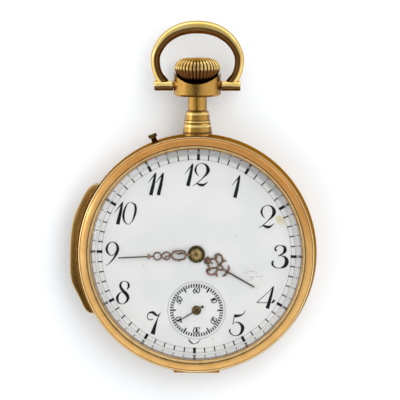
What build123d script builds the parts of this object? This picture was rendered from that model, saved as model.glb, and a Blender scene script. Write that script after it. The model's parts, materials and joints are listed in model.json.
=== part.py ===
from build123d import *
import os
from math import atan2, cos, degrees, hypot, pi, radians, sin, sqrt

# Open-face repeater pocket watch, in millimetres.
# The watch lies on its back. The origin is the centre of the flat disc of the back cover that it
# rests on, +Z points out of the dial, +Y points to 12 o'clock and the pendant, +X to 3 o'clock.

# ---- Case
CASE_R = 26.0                # widest radius of the convex band
BAND_EDGE_R = 25.3           # radius of the band at its two edges
BAND_Z = (3.45, 9.85)        # lower and upper edge of the band
BAND_BORE_R = 22.6
LEDGE_R = 21.9               # ledge that the movement stands on
LEDGE_Z = (6.4, 7.0)
AXIS_Z = 6.4                 # height of the stem, pendant and bow axis
BACK_FLAT_R = 13.0           # flat disc of the back cover
BACK_R = 25.5
BACK_WALL = 0.55
CUVETTE_R = 23.85
CUVETTE_FLAT_R = 15.0
CUVETTE_Z = (1.25, 3.9)
BEZEL_R = 25.75
BEZEL_Z = (9.9, 12.3)
BEZEL_OPENING_R = 23.1
GLASS_R = 23.05
GLASS_Z = (11.5, 12.0, 12.75)  # underside, top of the straight edge, flat top

# ---- Hinges at 6 o'clock
LID_HINGE_Y = -25.6
BACK_HINGE_Z = 3.43
BEZEL_HINGE_Z = 9.88
KNUCKLE_R = 0.42
PIN_R = 0.2
PIN_PLAY = 0.04
KNUCKLE_X = (2.5, 5.0)       # half-length of the lid knuckle and outer end of the band knuckles
CUVETTE_HINGE_Y = -24.2
CUVETTE_HINGE_Z = 3.62
CUVETTE_KNUCKLE_R = 0.35
CUVETTE_KNUCKLE_X = (2.0, 4.0)

# ---- Pendant, crown and bow
CUP_R = 5.15
CUP_Y = (34.2, 39.25)
CUP_SCOOP_Y = 36.95          # lowest point of the scooped rim, front and back
CROWN_FLUTES = 36
BOW_Y = 36.35                # hinge axis of the bow
BARREL_R = 1.07
BOW_SCREW_R = 0.45
BOW_HALF_DEPTH = 1.2

# ---- Pin-set pusher and repeater slide on the band
PUSHER_ANGLE = 111.0         # from +X towards +Y
PUSHER_R = 0.95
PUSHER_ROD_R = 0.6
SLIDE_Z = (5.0, 8.2)
SLIDE_INNER_R = 26.04
STUD_ANGLE = 185.0
SLIDE_TRAVEL = 16.0
RACK_R = (20.6, 21.5)
RACK_Z = (5.5, 6.2)

# ---- Movement levels, from the back to the dial
WHEEL_TOP_Z = (3.35, 3.75)   # ratchet and crown wheels
BRIDGE_Z = (3.9, 5.0)
PLATE_Z = (7.0, 8.4)
PLATE_R = 22.3
MOTION_Z = (8.5, 9.4)        # motion work under the dial
DIAL_Z = (9.6, 10.35)
DIAL_R = 22.75

# ---- Going train: teeth and module of every mesh
BARREL_TEETH, CENTRE_PINION, M_BARREL = 84, 12, 0.19
CENTRE_TEETH, THIRD_PINION, M_CENTRE = 80, 10, 0.17
THIRD_TEETH, FOURTH_PINION, M_THIRD = 75, 10, 0.16
FOURTH_TEETH, ESCAPE_PINION, M_FOURTH = 70, 7, 0.14
CANNON_TEETH, MINUTE_TEETH, M_CANNON = 12, 36, 0.15
MINUTE_PINION, HOUR_TEETH, M_HOUR = 10, 40, 0.144
ESCAPE_TEETH, ESCAPE_R = 15, 2.4
ARBOR_R = 0.2
HOLE_PLAY = 0.04

# ---- Winding work
WINDING_TEETH, CONTRATE_TEETH, WINDING_R = 19, 24, 2.3
CROWN_TEETH, RATCHET_TEETH, M_RATCHET = 33, 46, 0.2
CONTRATE_R = (2.4, 3.05)
STEM_R = 0.75

# ---- Hands: direction clockwise from 12 and length
HOUR_ANGLE, HOUR_LENGTH = 119.5, 14.6
MINUTE_ANGLE, MINUTE_LENGTH = 267.1, 17.0
SECONDS_ANGLE, SECONDS_LENGTH = 239.0, 4.5
HOUR_Z = (10.6, 10.8)
MINUTE_Z = (10.95, 11.13)
SECONDS_Z = (10.3, 10.42)
SUBDIAL_R = 6.35


def polar(r, angle):
    """Point at radius r and an angle in degrees from +X."""
    return (r * cos(radians(angle)), r * sin(radians(angle)))


def moved(point, r, angle):
    dx, dy = polar(r, angle)
    return (point[0] + dx, point[1] + dy)


def heading(a, b):
    """Direction from a to b in degrees."""
    return degrees(atan2(b[1] - a[1], b[0] - a[0]))


# Centres of the train. The third wheel sits in the corner of a triangle with known sides.
CENTRE = (0.0, 0.0)
FOURTH = (0.0, -12.3)
CENTRE_TO_THIRD = M_CENTRE * (CENTRE_TEETH + THIRD_PINION) / 2
THIRD_TO_FOURTH = M_THIRD * (THIRD_TEETH + FOURTH_PINION) / 2
THIRD_Y = -(CENTRE_TO_THIRD**2 - THIRD_TO_FOURTH**2 + FOURTH[1]**2) / (2 * -FOURTH[1])
THIRD = (sqrt(CENTRE_TO_THIRD**2 - THIRD_Y**2), THIRD_Y)
ESCAPE = moved(FOURTH, M_FOURTH * (FOURTH_TEETH + ESCAPE_PINION) / 2, 170)
LINE_OF_BALANCE = 150.0
PALLET = moved(ESCAPE, 3.0, LINE_OF_BALANCE)
BALANCE = moved(ESCAPE, 7.3, LINE_OF_BALANCE)
BALANCE_R = 6.0
BARREL = moved(CENTRE, M_BARREL * (BARREL_TEETH + CENTRE_PINION) / 2, 60)
MINUTE_WHEEL = moved(CENTRE, M_CANNON * (CANNON_TEETH + MINUTE_TEETH) / 2, 100)
CROWN_TO_RATCHET = M_RATCHET * (CROWN_TEETH + RATCHET_TEETH) / 2
CROWN_WHEEL = (0.0, BARREL[1] + sqrt(CROWN_TO_RATCHET**2 - BARREL[0]**2))
WINDING_Y = CROWN_WHEEL[1] + sum(CONTRATE_R) / 2
CLICK = moved(BARREL, 6.6, -20)
SETTING_PIVOT = (-7.9, 16.2)

# Repeater work
M_RACK, RACK_TEETH, REPEATER_PINION = 0.2, 206, 20
REPEATER = polar(M_RACK * (RACK_TEETH - REPEATER_PINION) / 2, 135)
M_GOVERNOR, REPEATER_TEETH, GOVERNOR_PINION = 0.1, 46, 12
GOVERNOR_GAP = M_GOVERNOR * (REPEATER_TEETH + GOVERNOR_PINION) / 2
GOVERNOR = moved(REPEATER, GOVERNOR_GAP, 230)
GONG_ANGLE = 0.0
HAMMER_ANGLES = (-22.0, -52.0)


# ---- Basic shapes
def disc(r, z0, z1, at=(0.0, 0.0)):
    shape = Cylinder(r, z1 - z0, align=(Align.CENTER, Align.CENTER, Align.MIN))
    return Pos(at[0], at[1], z0) * shape


def ring(r_out, r_in, z0, z1, at=(0.0, 0.0)):
    return disc(r_out, z0, z1, at) - disc(r_in, z0 - 1, z1 + 1, at)


def block(x, y, z):
    """Box from three (low, high) pairs."""
    size = [high - low for low, high in (x, y, z)]
    return Pos(x[0], y[0], z[0]) * Box(*size, align=(Align.MIN, Align.MIN, Align.MIN))


def prism(points, z0, z1):
    outline = make_face(Polyline(*points, close=True))
    return Pos(0, 0, z0) * extrude(outline, z1 - z0)


def bar(a, b, width, z0, z1):
    """Straight bar with round ends."""
    length = hypot(b[0] - a[0], b[1] - a[1])
    body = Box(length, width, z1 - z0, align=(Align.MIN, Align.CENTER, Align.MIN))
    body = Pos(a[0], a[1], z0) * Rot(0, 0, heading(a, b)) * body
    return body + disc(width / 2, z0, z1, a) + disc(width / 2, z0, z1, b)


def rod_x(r, x0, x1, y, z):
    shape = Cylinder(r, x1 - x0, align=(Align.CENTER, Align.CENTER, Align.MIN))
    return Pos(x0, y, z) * Rot(0, 90, 0) * shape


def rod_y(r, y0, y1, x=0.0, z=AXIS_Z):
    shape = Cylinder(r, y1 - y0, align=(Align.CENTER, Align.CENTER, Align.MIN))
    return Pos(x, y0, z) * Rot(-90, 0, 0) * shape


def rod_out(r, r0, r1, angle, z):
    """Radial rod, from radius r0 to radius r1."""
    return Rot(0, 0, angle - 90) * rod_y(r, r0, r1, 0.0, z)


def lathe(points):
    """Solid turned about Z from (radius, z) corners."""
    return revolve(Plane.XZ * make_face(Polyline(*points, close=True)), Axis.Z, 360)


def lathe_y(points):
    """Solid turned about the stem axis from (radius, y) corners."""
    return Pos(0, 0, AXIS_Z) * Rot(-90, 0, 0) * lathe(points)


def sector(r_out, r_in, a0, a1, z0, z1, at=(0.0, 0.0)):
    """Part of a ring between two angles."""
    steps = max(2, int(abs(a1 - a0) / 30) + 2)
    angles = [a0 + (a1 - a0) * i / (steps - 1) for i in range(steps)]
    far = r_out * 1.3
    wedge = prism([(0, 0)] + [polar(far, a) for a in angles], z0 - 0.5, z1 + 0.5)
    return Pos(at[0], at[1], 0) * (ring(r_out, r_in, z0, z1) & wedge)


def union(parts):
    total = parts[0]
    for part in parts[1:]:
        total = total + part
    return total


# ---- Wheels
def toothed(teeth, module, z0, z1, at, towards, gap=False, top=0.8, root=1.1, fill=0.34):
    """Toothed disc. A tooth, or with gap a space, faces the direction towards."""
    pitch_r = teeth * module / 2
    pitch = 360.0 / teeth
    start = towards + (pitch / 2 if gap else 0)
    points = []
    for i in range(teeth):
        angle = start + i * pitch
        for r, half in ((pitch_r - root * module, 0.75), (pitch_r + top * module, 0.25)):
            points.append((r, angle - half * fill * pitch))
        for r, half in ((pitch_r + top * module, 0.25), (pitch_r - root * module, 0.75)):
            points.append((r, angle + half * fill * pitch))
    return Pos(at[0], at[1], 0) * prism([polar(r, a) for r, a in points], z0, z1)


def crossed_out(wheel, r_rim, r_hub, spokes, width, z0, z1, at, start=0.0):
    """Cuts the windows between the spokes of a wheel."""
    windows = ring(r_rim, r_hub, z0 - 0.2, z1 + 0.2)
    for i in range(spokes):
        arm = Box(r_rim * 2, width, 4, align=(Align.MIN, Align.CENTER, Align.MIN))
        windows = windows - Pos(0, 0, z0 - 1) * Rot(0, 0, start + i * 360 / spokes) * arm
    return wheel - Pos(at[0], at[1], 0) * windows


def train_wheel(teeth, module, z, pinion, p_module, p_z, at, drives, driven_by, arbor_z):
    """Wheel, pinion and arbor in one piece."""
    wheel = toothed(teeth, module, z[0], z[1], at, drives)
    rim = teeth * module / 2 - 1.1 * module - 0.45
    wheel = crossed_out(wheel, rim, 1.15, 5, 0.42, z[0], z[1], at)
    leaves = toothed(pinion, p_module, p_z[0], p_z[1], at, driven_by, gap=True)
    return wheel + leaves + disc(ARBOR_R, arbor_z[0], arbor_z[1], at)


# ---- Case
def case_profile(bore):
    """Convex band, solid inside when bore is None."""
    middle = (BAND_Z[0] + BAND_Z[1]) / 2
    arc = ThreePointArc((BAND_EDGE_R, BAND_Z[0]), (CASE_R, middle), (BAND_EDGE_R, BAND_Z[1]))
    inner = bore or 0.0
    rest = Polyline((BAND_EDGE_R, BAND_Z[1]), (inner, BAND_Z[1]), (inner, BAND_Z[0]),
                    (BAND_EDGE_R, BAND_Z[0]))
    return revolve(Plane.XZ * make_face([arc, rest]), Axis.Z, 360)


def hinge_side(sign, hinge_z, length, r, y, grow=0.0):
    """Two outer knuckles of a hinge, or the notch for the middle one."""
    if sign == 0:
        return rod_x(r + grow, -length[0] - grow, length[0] + grow, y, hinge_z)
    left = rod_x(r + grow, -length[1] - grow, -length[0] - 0.05 + grow, y, hinge_z)
    right = rod_x(r + grow, length[0] + 0.05 - grow, length[1] + grow, y, hinge_z)
    return left + right


def case_middle():
    band = case_profile(BAND_BORE_R)
    band = band - disc(24.0, BAND_Z[0] - 1, 3.97)
    band = band - disc(DIAL_R + 0.2, DIAL_Z[0] - 0.15, BAND_Z[1] + 1)
    band = band + ring(BAND_BORE_R + 0.1, LEDGE_R, LEDGE_Z[0], LEDGE_Z[1])
    for hinge_z, up in ((BACK_HINGE_Z, 1), (BEZEL_HINGE_Z, -1)):
        band = band - hinge_side(0, hinge_z, KNUCKLE_X, KNUCKLE_R, LID_HINGE_Y, 0.1)
        for side in (-1, 1):
            x = sorted((side * (KNUCKLE_X[0] + 0.05), side * KNUCKLE_X[1]))
            z = sorted((hinge_z + up * 0.03, hinge_z + up * 0.9))
            band = band + block(x, (LID_HINGE_Y, -24.6), z)
        band = band + hinge_side(1, hinge_z, KNUCKLE_X, KNUCKLE_R, LID_HINGE_Y)
        band = band - rod_x(PIN_R, -6, 6, LID_HINGE_Y, hinge_z)
    x0, x1 = CUVETTE_KNUCKLE_X
    notch = rod_x(CUVETTE_KNUCKLE_R + 0.12, -x0 - 0.1, x0 + 0.1, CUVETTE_HINGE_Y, CUVETTE_HINGE_Z)
    band = band - notch
    knuckles = hinge_side(1, CUVETTE_HINGE_Z, CUVETTE_KNUCKLE_X, CUVETTE_KNUCKLE_R, CUVETTE_HINGE_Y)
    band = band + knuckles
    band = band - rod_x(PIN_R, -x1 - 0.5, x1 + 0.5, CUVETTE_HINGE_Y, CUVETTE_HINGE_Z)
    band = band - rod_y(STEM_R + 0.5, 20, 27)
    band = band - rod_out(PUSHER_ROD_R + 0.06, 20, 27, PUSHER_ANGLE, AXIS_Z)
    stud_slot = sector(27, 20, STUD_ANGLE - SLIDE_TRAVEL - 2.6, STUD_ANGLE + 2.6, 5.4, 6.3)
    band = band - stud_slot
    return band


def back_cover():
    flat, r, wall = BACK_FLAT_R, BACK_R, BACK_WALL
    sweep_r = (r - flat)**2 / (2 * 3.0) + 3.0 / 2
    mid = (flat + r) / 2
    rise = sweep_r - sqrt(sweep_r**2 - (mid - flat)**2)
    outer = ThreePointArc((flat, 0), (mid, rise), (r, 3.0))
    inner = ThreePointArc((r - wall, 3.0), (mid - wall / 4, rise + wall), (flat, wall))
    edges = [outer, Line((r, 3.0), (r, 3.4)), Line((r, 3.4), (r - wall, 3.4)),
             Line((r - wall, 3.4), (r - wall, 3.0)), inner, Line((flat, wall), (0, wall)),
             Line((0, wall), (0, 0)), Line((0, 0), (flat, 0))]
    cover = revolve(Plane.XZ * make_face(edges), Axis.Z, 360)
    cover = cover - hinge_side(1, BACK_HINGE_Z, KNUCKLE_X, KNUCKLE_R, LID_HINGE_Y, 0.1)
    x = KNUCKLE_X[0]
    cover = cover + block((-x, x), (LID_HINGE_Y, -24.95), (2.95, 3.4))
    cover = cover + hinge_side(0, BACK_HINGE_Z, KNUCKLE_X, KNUCKLE_R, LID_HINGE_Y)
    lift = block((-1.6, 1.6), (25.2, 25.85), (2.8, 3.15))
    cover = cover + lift
    return cover - rod_x(PIN_R + PIN_PLAY, -6, 6, LID_HINGE_Y, BACK_HINGE_Z)


def cuvette():
    flat, r = CUVETTE_FLAT_R, CUVETTE_R
    z0, z1 = CUVETTE_Z
    depth = 3.3 - z0
    sweep_r = (r - flat)**2 / (2 * depth) + depth / 2
    mid = (flat + r) / 2
    rise = sweep_r - sqrt(sweep_r**2 - (mid - flat)**2)
    outer = ThreePointArc((flat, z0), (mid, z0 + rise), (r, 3.3))
    inner = ThreePointArc((23.1, 3.55), (mid - 0.2, z0 + rise + 0.4), (flat, z0 + 0.4))
    edges = [outer, Line((r, 3.3), (r, z1)), Line((r, z1), (23.1, z1)), Line((23.1, z1), (23.1, 3.55)),
             inner, Line((flat, z0 + 0.4), (0, z0 + 0.4)), Line((0, z0 + 0.4), (0, z0)),
             Line((0, z0), (flat, z0))]
    lid = revolve(Plane.XZ * make_face(edges), Axis.Z, 360)
    x = CUVETTE_KNUCKLE_X[0]
    lid = lid - hinge_side(1, CUVETTE_HINGE_Z, CUVETTE_KNUCKLE_X, CUVETTE_KNUCKLE_R,
                           CUVETTE_HINGE_Y, 0.08)
    lid = lid + block((-x, x), (CUVETTE_HINGE_Y, -23.3), (3.35, CUVETTE_HINGE_Z))
    lid = lid + rod_x(CUVETTE_KNUCKLE_R, -x, x, CUVETTE_HINGE_Y, CUVETTE_HINGE_Z)
    return lid - rod_x(PIN_R + PIN_PLAY, -6, 6, CUVETTE_HINGE_Y, CUVETTE_HINGE_Z)


def bezel():
    z0, z1 = BEZEL_Z
    flank = Polyline((BEZEL_OPENING_R - 0.15, z0), (25.35, z0), (BEZEL_R, z0 + 0.45), (BEZEL_R, 11.35),
                     (25.62, 11.62), (25.46, 11.7), (25.36, 11.62))
    crest = ThreePointArc((25.36, 11.62), (24.65, 12.06), (23.8, 12.22))
    lip = Polyline((23.8, 12.22), (23.7, 12.14), (23.6, z1), (23.38, z1), (BEZEL_OPENING_R, 12.02),
                   (BEZEL_OPENING_R, GLASS_Z[0]), (BEZEL_OPENING_R - 0.15, GLASS_Z[0]),
                   (BEZEL_OPENING_R - 0.15, z0))
    rim = revolve(Plane.XZ * make_face([flank, crest, lip]), Axis.Z, 360)
    rim = rim - hinge_side(1, BEZEL_HINGE_Z, KNUCKLE_X, KNUCKLE_R, LID_HINGE_Y, 0.1)
    x = KNUCKLE_X[0]
    rim = rim + block((-x, x), (LID_HINGE_Y, -24.6), (9.92, 10.4))
    rim = rim + hinge_side(0, BEZEL_HINGE_Z, KNUCKLE_X, KNUCKLE_R, LID_HINGE_Y)
    return rim - rod_x(PIN_R + PIN_PLAY, -6, 6, LID_HINGE_Y, BEZEL_HINGE_Z)


def crystal():
    low, edge, top = GLASS_Z
    points = [(0, low), (GLASS_R, low), (GLASS_R, edge), (21.8, top), (0, top)]
    return lathe(points)


def hinge_pin(half, y, z):
    return rod_x(PIN_R, -half, half, y, z)


# ---- Pendant, bow and crown
def pendant():
    collars = [(1.25, 24.4), (3.25, 24.4), (3.2, 26.0), (2.98, 28.0), (2.84, 28.3), (2.88, 28.45),
               (2.84, 28.8), (2.72, 29.0), (2.54, 30.4), (2.4, 30.85), (2.14, 30.95), (2.06, 31.1)]
    cup = [(2.06, CUP_Y[0]), (4.75, CUP_Y[0]), (CUP_R, 34.6), (CUP_R, CUP_Y[1]), (4.9, CUP_Y[1]),
           (4.75, 37.4), (4.5, 35.4), (1.25, 35.4)]
    body = lathe_y(collars + cup)
    drop = CUP_Y[1] - CUP_SCOOP_Y
    scoop_r = (CUP_R**2 + drop**2) / (2 * drop)
    body = body - disc(scoop_r, -5, 20, (0, CUP_SCOOP_Y + scoop_r))
    body = body - case_profile(None) - disc(CASE_R, 0, BAND_Z[0])
    for side in (-1, 1):
        x = sorted((side * 4.3, side * 6.0))
        body = body - rod_x(BOW_SCREW_R, x[0], x[1], BOW_Y, AXIS_Z)
    return body


def bow_screws():
    pins = []
    for side in (-1, 1):
        shank = sorted((side * 4.62, side * 9.2))
        head = sorted((side * 9.0, side * 9.35))
        pins.append(rod_x(BOW_SCREW_R, shank[0], shank[1], BOW_Y, AXIS_Z)
                    + rod_x(0.72, head[0], head[1], BOW_Y, AXIS_Z))
    return pins[0] + pins[1]


def bow_outline(points):
    """Smooth line through half an outline and its mirror image; the half starts on the middle line."""
    left = [(-x, y) for x, y in reversed(points[1:])]
    return Spline(*(left + points))


def bow():
    outer = [(0, 50.5), (4.4, 49.7), (7.65, 47.55), (9.65, 44.9), (10.12, 42.6), (9.8, 40.3), (8.85, 37.9)]
    inner = [(0, 47.72), (3.6, 47.1), (6.35, 45.55), (7.95, 43.4), (8.3, 41.7), (7.9, 39.6), (6.6, 37.6)]
    outer_curve = bow_outline(outer)
    inner_curve = bow_outline(inner)
    feet = [Line((side * outer[-1][0], outer[-1][1]), (side * inner[-1][0], inner[-1][1]))
            for side in (-1, 1)]
    arch = extrude(make_face([outer_curve, inner_curve] + feet), 2 * BOW_HALF_DEPTH)
    arch = Pos(0, 0, AXIS_Z - BOW_HALF_DEPTH) * arch
    long_edges = arch.edges().filter_by(GeomType.BSPLINE)
    arch = fillet(long_edges, 0.78)
    for side in (-1, 1):
        x = sorted((side * 5.35, side * 9.35))
        arch = arch + rod_x(BARREL_R, x[0], x[1], BOW_Y, AXIS_Z)
        stem = sorted((side * 6.75, side * 8.75))
        arch = arch + block(stem, (BOW_Y, 38.0), (AXIS_Z - 0.75, AXIS_Z + 0.75))
    for side in (-1, 1):
        bore = sorted((side * 5.0, side * 10.0))
        arch = arch - rod_x(BOW_SCREW_R + 0.05, bore[0], bore[1], BOW_Y, AXIS_Z)
        head = sorted((side * 8.95, side * 10.0))
        arch = arch - rod_x(0.78, head[0], head[1], BOW_Y, AXIS_Z)
    return arch


def crown():
    profile = [(STEM_R, 36.2), (3.3, 36.2), (3.75, 37.0), (4.3, 38.3), (4.66, 39.2), (4.9, 39.75),
               (4.97, 40.1), (4.9, 40.6), (4.65, 41.15), (4.2, 41.65), (3.6, 42.05), (2.8, 42.32),
               (0, 42.45), (0, 41.6), (STEM_R, 41.6)]
    knob = lathe_y(profile)
    cutter = Pos(4.98, 0, 34) * Cylinder(0.27, 9.5, align=(Align.CENTER, Align.CENTER, Align.MIN))
    cutter = cutter + Pos(4.98, 0, 40.6) * Rot(0, -52, 0) * Cylinder(
        0.27, 4.5, align=(Align.CENTER, Align.CENTER, Align.MIN))
    cutter = cutter + Pos(4.98, 0, 40.0) * Rot(0, 197, 0) * Cylinder(
        0.27, 5.0, align=(Align.CENTER, Align.CENTER, Align.MIN))
    grooves = [Rot(0, 0, i * 360 / CROWN_FLUTES) * cutter for i in range(CROWN_FLUTES)]
    to_stem = Pos(0, 0, AXIS_Z) * Rot(-90, 0, 0)
    return knob - [to_stem * groove for groove in grooves]


def winding_stem():
    y0 = 15.3
    stem = rod_y(STEM_R, y0, 41.6)
    square = Pos(0, y0, AXIS_Z) * Box(0.9, 2.0, 0.9, align=(Align.CENTER, Align.MIN, Align.CENTER))
    return stem - rod_y(1.2, y0, WINDING_Y - 0.5) + square


def winding_pinion():
    pitch = 2 * WINDING_R / WINDING_TEETH
    teeth = toothed(WINDING_TEETH, pitch, 0, 0.65, (0, 0), 90, gap=True, top=0.0, root=1.7, fill=0.3)
    wheel = Pos(0, WINDING_Y - 0.32, AXIS_Z) * Rot(-90, 0, 0) * teeth
    wheel = wheel + rod_y(1.4, WINDING_Y + 0.32, WINDING_Y + 0.9)
    return wheel - rod_y(STEM_R, WINDING_Y - 1, WINDING_Y + 2)


def sliding_pinion():
    body = rod_y(1.35, 15.45, WINDING_Y - 0.55)
    body = body - (rod_y(1.6, 15.9, 16.25) - rod_y(0.95, 15.8, 16.35))
    return body - Pos(0, 15, AXIS_Z) * Box(0.9, 4.0, 0.9, align=(Align.CENTER, Align.MIN, Align.CENTER))


def crown_wheel():
    z0, z1 = WHEEL_TOP_Z
    towards = heading(CROWN_WHEEL, BARREL)
    wheel = toothed(CROWN_TEETH, M_RATCHET, z0, z1, CROWN_WHEEL, towards, gap=True)
    pitch = 360.0 / CONTRATE_TEETH
    for i in range(CONTRATE_TEETH):
        angle = 90 + i * pitch
        tooth = sector(CONTRATE_R[1], CONTRATE_R[0], angle - 0.17 * pitch, angle + 0.17 * pitch,
                       z1, z1 + 0.42)
        wheel = wheel + Pos(CROWN_WHEEL[0], CROWN_WHEEL[1], 0) * tooth
    return wheel - disc(1.0, z0 - 1, z1 + 1, CROWN_WHEEL)


def ratchet_wheel():
    z0, z1 = WHEEL_TOP_Z
    wheel = toothed(RATCHET_TEETH, M_RATCHET, z0, z1, BARREL, heading(BARREL, CROWN_WHEEL))
    return wheel - disc(0.8, z0 - 1, z1 + 1, BARREL)


def barrel_arbor():
    z0 = WHEEL_TOP_Z[0]
    screw = disc(1.5, z0 - 0.3, z0, BARREL)
    arbor = disc(0.8, z0, 5.35, BARREL) + disc(1.2, 5.35, 6.5, BARREL)
    slot = Pos(BARREL[0], BARREL[1], z0 - 0.3) * Rot(0, 0, 25) * Box(
        3.2, 0.3, 0.35, align=(Align.CENTER, Align.CENTER, Align.CENTER))
    return screw + arbor + disc(0.6, 6.5, 7.9, BARREL) - slot


def mainspring_barrel():
    teeth = toothed(BARREL_TEETH, M_BARREL, 6.55, 6.9, BARREL, heading(BARREL, CENTRE))
    drum = ring(7.3, 7.0, 5.65, 6.55, BARREL) + ring(7.3, 1.25, 5.45, 5.65, BARREL)
    return drum + (teeth - disc(0.65, 6, 8, BARREL))


def mainspring():
    """Coils of the mainspring, lying against the wall of the barrel."""
    coils = [ring(r, r - 0.16, 5.75, 6.45, BARREL) for r in (6.9, 6.55, 6.2, 5.85, 5.5, 5.15)]
    links = [bar(moved(BARREL, 6.9, a), moved(BARREL, 5.05, a), 0.16, 5.75, 6.45) for a in (40,)]
    return union(coils + links)


# ---- Plates and bridges
def jewel_spots():
    """Centres of the train holes in the plate and bridges."""
    return (THIRD, FOURTH, ESCAPE)


def main_plate():
    z0, z1 = PLATE_Z
    plate = disc(PLATE_R, z0, z1)
    plate = plate - disc(0.65, 6, 9, CENTRE)
    for spot in jewel_spots():
        plate = plate - disc(0.75, z0 - 1, z1 + 1, spot)
    for spot in (BALANCE, PALLET):
        plate = plate - disc(0.75, z0 - 1, z1 + 1, spot)
    plate = plate - disc(0.6 + HOLE_PLAY, 6, 9, BARREL)
    for spot in (REPEATER, GOVERNOR):
        plate = plate - disc(ARBOR_R + HOLE_PLAY, 6, 9, spot)
    plate = plate - block((-2.7, 2.7), (WINDING_Y - 0.6, WINDING_Y + 0.7), (z0 - 1, z1 + 1))
    plate = plate - rod_y(1.45, 15.2, 24)
    plate = plate - rod_out(PUSHER_ROD_R + 0.1, 18.9, 24, PUSHER_ANGLE, AXIS_Z)
    plate = plate - disc(0.5, z1 - 0.4, 9, MINUTE_WHEEL)
    for angle in (45, 165, 285):
        plate = plate - disc(0.45, z0 - 1, z1 + 1, polar(19.3, angle))
    return plate + disc(0.45, z1 - 0.4, MOTION_Z[1], MINUTE_WHEEL)


def screw_spots():
    """Bridge screws: (place, bridge)."""
    return {"barrel": (polar(18.4, 76), polar(17.0, 28), polar(13.6, 118)),
            "train": (polar(13.24, -31.4), polar(19.0, -90)),
            "cock": (polar(20.0, 180),)}


def foot(spot, r=1.35):
    return disc(r, BRIDGE_Z[1], PLATE_Z[0], spot)


def barrel_bridge():
    z0, z1 = BRIDGE_Z
    bridge = (disc(20.4, z0, z1) & block((-19.5, 19.5), (1.9, 19.9), (z0, z1)))
    bridge = bridge - disc(1.7, z0 - 1, z1 + 1, CENTRE)
    bridge = bridge - block((-2.7, 2.7), (WINDING_Y - 0.5, 21), (z0 - 1, z1 + 1))
    bridge = bridge - disc(3.75, z0 - 1, z0 + 0.4, CROWN_WHEEL)
    bridge = bridge - disc(1.5, z0 - 1, z1 + 1, CROWN_WHEEL)
    bridge = bridge + ring(1.5, 0.35, z0 + 0.4, z1, CROWN_WHEEL)
    bridge = bridge - disc(0.8 + HOLE_PLAY, z0 - 1, z1 + 1, BARREL)
    for spot in (REPEATER, GOVERNOR):
        bridge = bridge - disc(ARBOR_R + HOLE_PLAY, z0 - 1, z1 + 1, spot)
    bridge = bridge - disc(0.4, z0 - 1, z1 + 1, CLICK)
    for spot in screw_spots()["barrel"]:
        bridge = bridge + foot(spot)
        bridge = bridge - disc(0.45, z0 - 1, PLATE_Z[0], spot)
        bridge = bridge - disc(0.9, z0 - 1, z0 + 0.35, spot)
    return bridge


def train_bridge():
    z0, z1 = BRIDGE_Z
    ends = screw_spots()["train"]
    bridge = bar(CENTRE, THIRD, 3.4, z0, z1) + bar(THIRD, FOURTH, 3.4, z0, z1)
    bridge = bridge + bar(THIRD, ends[0], 3.4, z0, z1) + bar(FOURTH, ends[1], 3.4, z0, z1)
    bridge = bridge + bar(FOURTH, ESCAPE, 2.6, z0, z1)
    bridge = bridge - block((-20, 20), (1.8, 20), (z0 - 1, z1 + 1))
    bridge = bridge - disc(0.75, z0 - 1, z1 + 1, CENTRE)
    for spot in jewel_spots():
        bridge = bridge - disc(0.75, z0 - 1, z1 + 1, spot)
    for spot in ends:
        bridge = bridge + foot(spot, 1.1)
        bridge = bridge - disc(0.45, z0 - 1, PLATE_Z[0], spot)
        bridge = bridge - disc(0.9, z0 - 1, z0 + 0.35, spot)
    return bridge


def balance_cock():
    z0, z1 = BRIDGE_Z
    end = screw_spots()["cock"][0]
    cock = bar(BALANCE, end, 3.6, z0, z1) + disc(2.3, z0, z1, BALANCE)
    cock = cock - disc(0.75, z0 - 1, z1 + 1, BALANCE)
    cock = cock + disc(0.95, z1, PLATE_Z[0], polar(19.4, 179.5)) & disc(20.45, 3, 8)
    spot = polar(19.4, 179.5)
    cock = cock - disc(0.45, z0 - 1, PLATE_Z[0], spot)
    return cock - disc(0.8, z0 - 1, z0 + 0.35, spot)


def pallet_ends():
    return [moved(PALLET, 2.9, LINE_OF_BALANCE + side * 78) for side in (-1, 1)]


def pallet_bridge():
    z0, z1 = 5.87, 6.08
    a, b = pallet_ends()
    bridge = bar(a, b, 1.1, z0, z1) + disc(0.55, z1, PLATE_Z[0], a) + disc(0.55, z1, PLATE_Z[0], b)
    return bridge - disc(ARBOR_R + HOLE_PLAY, z0 - 1, z1 + 1, PALLET)


def jewel(z0, z1, at, hole=ARBOR_R + HOLE_PLAY):
    return ring(0.75, hole, z0, z1, at)


def bridge_jewels():
    z0, z1 = BRIDGE_Z
    return union([jewel(z0 + 0.3, z1, spot) for spot in jewel_spots() + (BALANCE,)]
                 + [jewel(z0 + 0.3, z1, CENTRE, 0.3 + HOLE_PLAY)])


def plate_jewels():
    z0, z1 = PLATE_Z
    return union([jewel(z0, z1 - 0.5, spot) for spot in jewel_spots() + (BALANCE, PALLET)])


def slotted_screw(spot, head_r, head_z, shank_r, shank_z, turn):
    screw = disc(head_r, head_z[0], head_z[1], spot) + disc(shank_r, head_z[1], shank_z, spot)
    slot = Pos(spot[0], spot[1], head_z[0]) * Rot(0, 0, turn) * Box(
        head_r * 2.4, 0.22, 0.3, align=(Align.CENTER, Align.CENTER, Align.CENTER))
    return screw - slot


def bridge_screws():
    z0 = BRIDGE_Z[0]
    spots = screw_spots()["barrel"] + screw_spots()["train"]
    screws = [slotted_screw(s, 0.88, (z0 - 0.1, z0 + 0.35), 0.43, PLATE_Z[0], 37 * i)
              for i, s in enumerate(spots)]
    cock = slotted_screw(polar(19.4, 179.5), 0.78, (z0 - 0.1, z0 + 0.35), 0.43, PLATE_Z[0], 60)
    return union(screws + [cock])


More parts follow.
